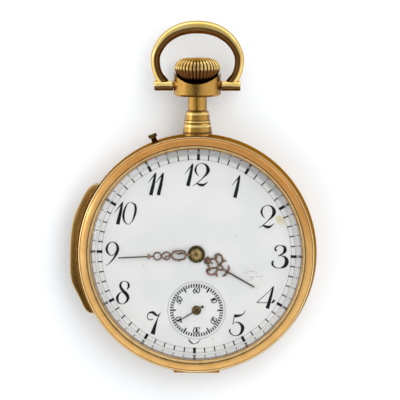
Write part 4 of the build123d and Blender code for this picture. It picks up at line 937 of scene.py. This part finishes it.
def bow_wire(material, axis_z):
    """Oval loop of wire with an oval section, thick at the top."""
    left = [(-x, y, w, d) for x, y, w, d in reversed(BOW_HALF)]
    path = curve_through(left + list(BOW_HALF[1:]), 8)
    around = 32
    bm = bmesh.new()
    shade = bm.verts.layers.float.new("shade")
    rings = []
    for i, (x, y, width, depth) in enumerate(path):
        before = path[max(i - 1, 0)]
        after = path[min(i + 1, len(path) - 1)]
        dx, dy = after[0] - before[0], after[1] - before[1]
        length = math.hypot(dx, dy)
        nx, ny = -dy / length, dx / length
        ring = []
        for k in range(around):
            a = 2 * math.pi * k / around
            out = math.cos(a)
            vert = bm.verts.new((x + nx * out * width / 2, y + ny * out * width / 2,
                                 axis_z + math.sin(a) * depth))
            vert[shade] = wire_shade(out, nx)
            ring.append(vert)
        rings.append(ring)
    skin(bm, rings)
    bm.faces.new(rings[0])
    bm.faces.new(rings[-1])
    arch = finish_mesh(bm, "bow_wire", material, "bow")


def bow_barrels(material, axis_z):
    """The two cross barrels at the feet of the bow, with painted shade on their lower half."""
    barrel_y = middle("bow_screws").y
    around = 48
    bm = bmesh.new()
    shade = bm.verts.layers.float.new("shade")
    for side in (-1, 1):
        rings = []
        for x, r in BARREL_PROFILE:
            ring = []
            for i in range(around):
                a = 2 * math.pi * i / around
                vert = bm.verts.new((side * x, barrel_y + r * math.cos(a), axis_z + r * math.sin(a)))
                # painted shade on the lower half
                vert[shade] = clamped((0.05 - math.cos(a)) / 0.15) * 0.97
                ring.append(vert)
            rings.append(ring)
        skin(bm, rings)
    barrels = finish_mesh(bm, "bow_barrels", material, "bow")
    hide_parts("bow")


def bow(material):
    axis_z = middle("bow").z
    bow_wire(material, axis_z)
    bow_barrels(material, axis_z)


def smooth_cad(name, material, bevel=0.0):
    """Gives a CAD node its material, smooth faces and, where asked, softened edges."""
    node = NODES[name]
    node.data.materials.clear()
    node.data.materials.append(material)
    for face in node.data.polygons:
        face.use_smooth = True
    if bevel:
        weld = node.modifiers.new("weld", "WELD")
        weld.merge_threshold = 1e-6
        bevelled(node, bevel, 40)
    split = node.modifiers.new("edges", "EDGE_SPLIT")
    split.split_angle = math.radians(32)


# ---------------------------------------------------------------- studio
def studio():
    """Pale floor, graded room light, a large soft key light and two strips for highlights."""
    bpy.ops.mesh.primitive_plane_add(size=1.6, location=(0, 0.01, 0))
    floor = bpy.context.object
    floor.name = "floor"
    floor.data.materials.append(floor_white())

    world = bpy.data.worlds.new("studio")
    bpy.context.scene.world = world
    world.use_nodes = True
    tree = world.node_tree
    coords = tree.nodes.new("ShaderNodeTexCoord")
    split = tree.nodes.new("ShaderNodeSeparateXYZ")
    tree.links.new(coords.outputs["Generated"], split.inputs[0])
    height = world_ramp(tree, split.outputs[2],
                        ((0.0, 1.1), (0.25, 1.06), (0.55, 1.01), (0.9, 0.96), (1.0, 0.9)))
    side = world_ramp(tree, world_dot(tree, coords, DIM_SIDE), ((-0.2, 1.1), (0.55, 0.66), (1.0, 0.6)))
    hood = world_ramp(tree, world_dot(tree, coords, HOOD), ((0.962, 1.0), (0.993, 0.14)))
    low = world_ramp(tree, split.outputs[2], ((0.2, 1.0), (0.5, 0.0)))
    behind = world_ramp(tree, world_dot(tree, coords, (0.0, 1.0, 0.0)), ((0.2, 0.0), (0.9, 1.3)))
    strength = world_times(tree, world_times(tree, height, side), hood)
    glow = tree.nodes.new("ShaderNodeMath")
    tree.links.new(strength, glow.inputs[0])
    tree.links.new(world_times(tree, low, behind), glow.inputs[1])
    back = tree.nodes["Background"]
    back.inputs["Color"].default_value = (1.0, 1.0, 1.0, 1.0)
    tree.links.new(glow.outputs[0], back.inputs["Strength"])

    key = softbox("key", on_dome(45, 55, 0.9), 0.75, 3.9)
    key.visible_glossy = False
    softbox("strip_right", on_dome(40, 24, 0.8), 0.14, 0.12)
    softbox("strip_left", on_dome(168, 26, 0.8), 0.18, 0.35)


def world_dot(tree, coords, direction):
    """Cosine between the looking direction and another one."""
    node = tree.nodes.new("ShaderNodeVectorMath")
    node.operation = "DOT_PRODUCT"
    node.inputs[1].default_value = direction
    tree.links.new(coords.outputs["Generated"], node.inputs[0])
    return node.outputs["Value"]


def world_ramp(tree, value, stops):
    """Piecewise smooth curve through (input, output) stops."""
    result = stops[0][1]
    for (a, low), (b, high) in zip(stops, stops[1:]):
        step = tree.nodes.new("ShaderNodeMapRange")
        step.interpolation_type = "SMOOTHSTEP"
        step.inputs["From Min"].default_value = a
        step.inputs["From Max"].default_value = b
        step.inputs["To Min"].default_value = 0.0
        step.inputs["To Max"].default_value = high - low
        tree.links.new(value, step.inputs["Value"])
        add = tree.nodes.new("ShaderNodeMath")
        if hasattr(result, "links"):
            tree.links.new(result, add.inputs[0])
        else:
            add.inputs[0].default_value = result
        tree.links.new(step.outputs["Result"], add.inputs[1])
        result = add.outputs[0]
    return result


def world_times(tree, a, b):
    """Product of two values."""
    node = tree.nodes.new("ShaderNodeMath")
    node.operation = "MULTIPLY"
    tree.links.new(a, node.inputs[0])
    tree.links.new(b, node.inputs[1])
    return node.outputs[0]


def on_dome(azimuth, elevation, distance):
    """Place above the watch from an azimuth and an elevation in degrees."""
    a, e = math.radians(azimuth), math.radians(elevation)
    return Vector((math.cos(a) * math.cos(e), math.sin(a) * math.cos(e), math.sin(e))) * distance


def softbox(name, place, size, power):
    """Square light of a size in metres and a power in watts that points at the watch."""
    light = bpy.data.lights.new(name, "AREA")
    light.shape = "SQUARE"
    light.size = size
    light.energy = power
    lamp = bpy.data.objects.new(name, light)
    lamp.location = place
    lamp.rotation_euler = (-place).to_track_quat("-Z", "Y").to_euler()
    bpy.context.scene.collection.objects.link(lamp)
    return lamp


def camera():
    """Long lens above the watch, leaning 6 degrees towards 1 o'clock."""
    distance = CAMERA_DISTANCE
    aim = Vector(CAMERA_AIM) * MM
    view = on_dome(*CAMERA_FROM, 1.0)
    right = Vector((0, 1, 0)).cross(view).normalized()
    up = view.cross(right)
    data = bpy.data.cameras.new("camera")
    data.sensor_width = 36.0
    data.lens = data.sensor_width * distance / (PICTURE_WIDTH * MM)
    data.clip_start = 0.05
    data.clip_end = 10.0
    cam = bpy.data.objects.new("camera", data)
    cam.matrix_world = Matrix((
        (right.x, up.x, view.x, aim.x + view.x * distance),
        (right.y, up.y, view.y, aim.y + view.y * distance),
        (right.z, up.z, view.z, aim.z + view.z * distance),
        (0, 0, 0, 1)))
    bpy.context.scene.collection.objects.link(cam)
    bpy.context.scene.camera = cam


def dress_cad():
    """Materials of the nodes that keep their CAD shape, with the width of their softened edges."""
    # the bezel gets painted highlight lines at its lip and outer edge and painted shade lines beside
    # them
    satin = gold("bezel_satin_gold", (0.82, 0.52, 0.20), (0.74, 0.44, 0.15), 0.24, 0.2, True,
                 ((25.5, 0.14, 0.85, PAINTED_HIGHLIGHT_GOLD), (25.3, 0.08, 0.5, PAINTED_SHADE_BROWN),
                  (23.5, 0.2, 0.95, PAINTED_HIGHLIGHT_GOLD), (23.8, 0.1, 0.6, PAINTED_SHADE_BROWN)))
    # the case band is a darker copy of the gold, as painted shade
    band = gold("band_gold_painted_shade", (0.50, 0.30, 0.10), (0.36, 0.20, 0.06), 0.2, 0.3, True)
    bright = gold("case_bright_gold", (0.82, 0.53, 0.20), (0.70, 0.42, 0.14), 0.14, 0.3)
    inner = gold("lid_inner_gold", (0.80, 0.52, 0.20), (0.70, 0.43, 0.15), 0.2, 0.3, True)
    plate = plate_metal("plate_nickel", (0.72, 0.70, 0.64), (0.56, 0.54, 0.49), 1.9)
    base_plate = plate_metal("plate_base", (0.70, 0.67, 0.58), (0.58, 0.55, 0.47))
    gilt = polished("gilt_brass", (0.78, 0.56, 0.26), (0.66, 0.45, 0.19), 0.2)
    steel = polished("polished_steel", (0.62, 0.62, 0.63), (0.50, 0.50, 0.52), 0.14)
    blued = polished("blued_steel", (0.03, 0.06, 0.26), (0.02, 0.035, 0.16), 0.16)
    red = ruby()
    glass = crystal()
    white = enamel()
    by_node = {"case_middle": (band, 0.0), "bezel": (satin, 0.0), "back_cover": (bright, 0.0),
               "cuvette": (inner, 0.0), "pendant": (pendant_gold(), 0.0), "bow_screws": (bright, 0.03),
               "set_pusher": (pusher_gold(), 0.06), "repeater_slide": (slide_gold(), 0.22),
               "main_plate": (base_plate, 0.0)}
    by_slot = {"case_gold": bright, "gilt_brass": gilt, "nickel_plate": plate, "steel": steel,
               "blued_steel": blued, "ruby": red, "hand_gold": gilt, "enamel": white, "crystal": glass}
    slot_of = {row["node"]: row["material_slot"] for row in frame["record"]["subparts"]}
    for name in NODES:
        material, bevel = by_node.get(name, (by_slot[slot_of[name]], 0.0))
        smooth_cad(name, material, bevel)


bpy.context.scene.view_settings.view_transform = "Standard"
dress_cad()
black_print = fired_black()
thin_print = fine_black()
hour_numerals(black_print)
minute_track(black_print, thin_print)
seconds_track(black_print, thin_print)
rose_gold = hand_gold()
dark_bronze = needle_bronze()
hub_metal = hub_brass("hub_brass", (0.0, 0.0), 1.25, (0.46, 0.33, 0.14))
hour_hand(rose_gold, dark_bronze, hub_metal)
minute_hand(rose_gold, dark_bronze, hub_metal)
seconds_hand(dark_bronze, hub_brass("seconds_hub_brass", SUB_CENTRE, 0.75, (0.26, 0.18, 0.08)))
crown(gold("crown_gold", (1.0, 0.76, 0.30), (0.92, 0.58, 0.17), 0.15, 0.2, dark=1.0))
bow(gold("bow_gold", (1.0, 0.77, 0.30), (0.94, 0.65, 0.20), 0.15, 0.3, dark=1.0))
studio()
camera()
